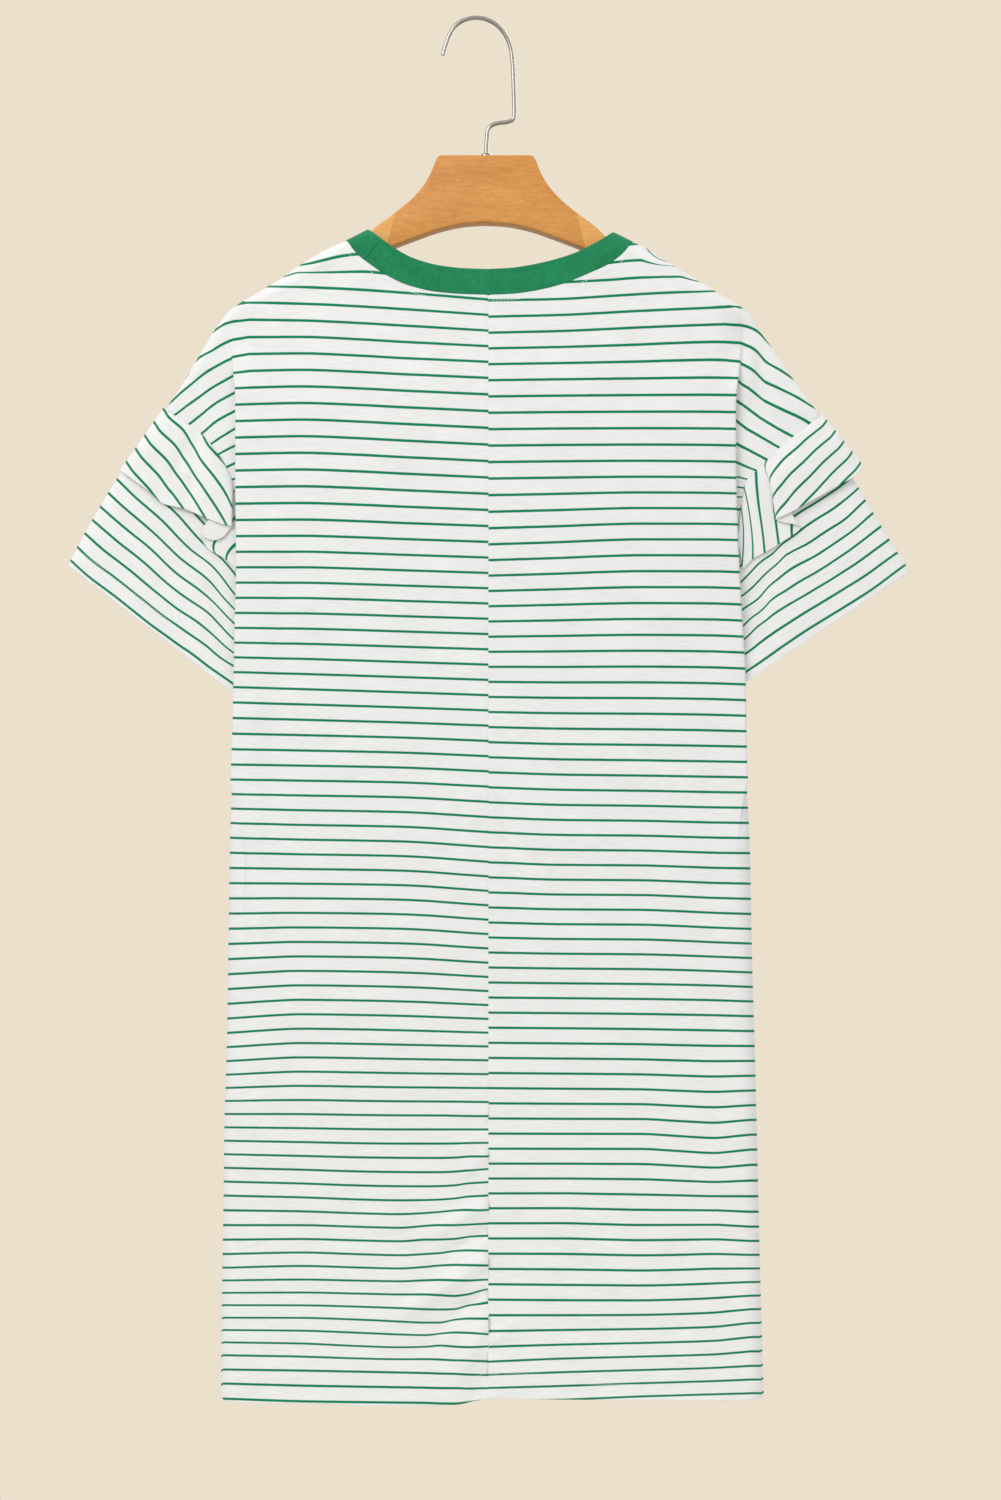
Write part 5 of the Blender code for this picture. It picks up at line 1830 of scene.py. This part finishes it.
def round_tip(hook):
    """Rounds the wire's flat free end."""
    start_piece()
    bpy.context.view_layer.objects.active = hook
    hook.select_set(True)
    bpy.ops.object.mode_set(mode="EDIT")
    bpy.ops.mesh.select_all(action="SELECT")
    bpy.ops.mesh.remove_doubles(threshold=WELD)
    bpy.ops.mesh.normals_make_consistent(inside=False)
    bpy.ops.mesh.select_all(action="DESELECT")
    bpy.ops.mesh.select_mode(type="FACE")
    mesh = bmesh.from_edit_mesh(hook.data)
    tip = Vector((HOOK_ROUTE[0].x, 0, -HOOK_ROUTE[0].drop)) * MM
    for face in mesh.faces:
        face.select = len(face.verts) > 4 and (face.calc_center_median() - tip).length < HOOK_RADIUS * MM
    bmesh.update_edit_mesh(hook.data)
    bpy.ops.mesh.bevel(offset=1.1 * MM, segments=4, profile=0.5, affect="EDGES")


def add_light(name, place, target, size, power, colour=(1.0, 1.0, 1.0)):
    bpy.ops.object.light_add(type="AREA", location=place)
    light = bpy.context.object
    light.name = name
    light.data.shape = "DISK"
    light.data.size = size
    light.data.energy = power
    light.data.color = colour
    light.rotation_euler = (Vector(target) - Vector(place)).to_track_quat("-Z", "Y").to_euler()
    return light


class DRESS_OT_stage(bpy.types.Operator):
    """Plain floor, soft studio light and the camera."""

    bl_idname = "dress.stage"
    bl_label = "Stage"

    def execute(self, context):
        start_piece()
        scene = context.scene
        stage = scene.dress_stage
        middle = Vector((CAMERA_X, 0.0, -CAMERA_DROP)) * MM
        bpy.ops.mesh.primitive_plane_add(size=stage.floor_size, location=(middle.x, 0, -stage.floor_drop))
        floor = context.object
        floor.name = "floor"
        floor.data.materials.append(plaster("floor_plaster", tuple(stage.floor)))
        add_light("key", (-1.3, -2.1, 1.1), middle, 1.6, 32.0, (1.0, 0.995, 0.985))
        add_light("fill", (1.7, -1.9, -0.2), middle, 1.8, 4.0)
        add_light("behind", (1.0, 2.2, 0.7), middle, 1.6, 26.0)
        make_world(stage)
        camera_data = bpy.data.cameras.new("camera")
        camera = bpy.data.objects.new("camera", camera_data)
        scene.collection.objects.link(camera)
        camera_data.sensor_width = 36.0
        camera_data.lens = 18.0 * (stage.camera_distance - STRIPE_PLANE * MM) / (VIEW_HEIGHT / 2 * MM)
        camera_data.clip_start = 0.05
        camera_data.clip_end = 50.0
        camera_data.dof.use_dof = False
        camera.location = (middle.x, -stage.camera_distance, middle.z)
        camera.rotation_euler = (math.pi / 2, 0, 0)
        scene.camera = camera
        scene.view_settings.view_transform = "Standard"
        return {"FINISHED"}


def make_world(stage):
    """White light from all round, weaker from below, with a plain warm background."""
    world = bpy.data.worlds.new("studio")
    bpy.context.scene.world = world
    world.use_nodes = True
    tree = world.node_tree
    tree.nodes.clear()
    directions = node(tree, "ShaderNodeTexCoord").outputs["Generated"]
    upward = node(tree, "ShaderNodeSeparateXYZ", Vector=directions).outputs[2]
    strength = node(tree, "ShaderNodeMapRange", Value=upward, _1=-1.0, _2=0.4, _3=0.34, _4=0.8).outputs[0]
    light = node(tree, "ShaderNodeBackground", Color=(1.0, 1.0, 0.995, 1.0), Strength=strength)
    back = node(tree, "ShaderNodeBackground", Color=(*stage.wall, 1.0), Strength=1.0)
    seen = node(tree, "ShaderNodeLightPath").outputs["Is Camera Ray"]
    both = node(tree, "ShaderNodeMixShader", _0=seen, _1=light.outputs[0], _2=back.outputs[0])
    node(tree, "ShaderNodeOutputWorld", Surface=both.outputs[0])


class DRESS_PT_panel(bpy.types.Panel):
    """Sizes and colours of the dress, and a button for each group of pieces."""

    bl_label = "Dress"
    bl_idname = "DRESS_PT_panel"
    bl_space_type = "VIEW_3D"
    bl_region_type = "UI"
    bl_category = "Dress"

    def draw(self, context):
        for name, group in SETTINGS.items():
            box = self.layout.box()
            settings = getattr(context.scene, name)
            for setting in group.__annotations__:
                box.prop(settings, setting)
        for operator in OPERATORS:
            self.layout.operator(operator.bl_idname)


SETTINGS = {
    "dress_cloth": ClothSettings,
    "dress_stitches": StitchSettings,
    "dress_hanger": HangerSettings,
    "dress_stage": StageSettings,
}
OPERATORS = (
    DRESS_OT_hanger,
    DRESS_OT_hook,
    DRESS_OT_back,
    DRESS_OT_front,
    DRESS_OT_sleeves,
    DRESS_OT_ruffles,
    DRESS_OT_neckband,
    DRESS_OT_stitching,
    DRESS_OT_stage,
)
CLASSES = (*SETTINGS.values(), *OPERATORS, DRESS_PT_panel)


def register():
    for item in CLASSES:
        bpy.utils.register_class(item)
    for name, group in SETTINGS.items():
        setattr(bpy.types.Scene, name, bpy.props.PointerProperty(type=group))


def unregister():
    for name in SETTINGS:
        delattr(bpy.types.Scene, name)
    for item in reversed(CLASSES):
        bpy.utils.unregister_class(item)


def main():
    register()
    for operator in OPERATORS:
        group, name = operator.bl_idname.split(".")
        getattr(getattr(bpy.ops, group), name)()


if __name__ == "__main__":
    main()
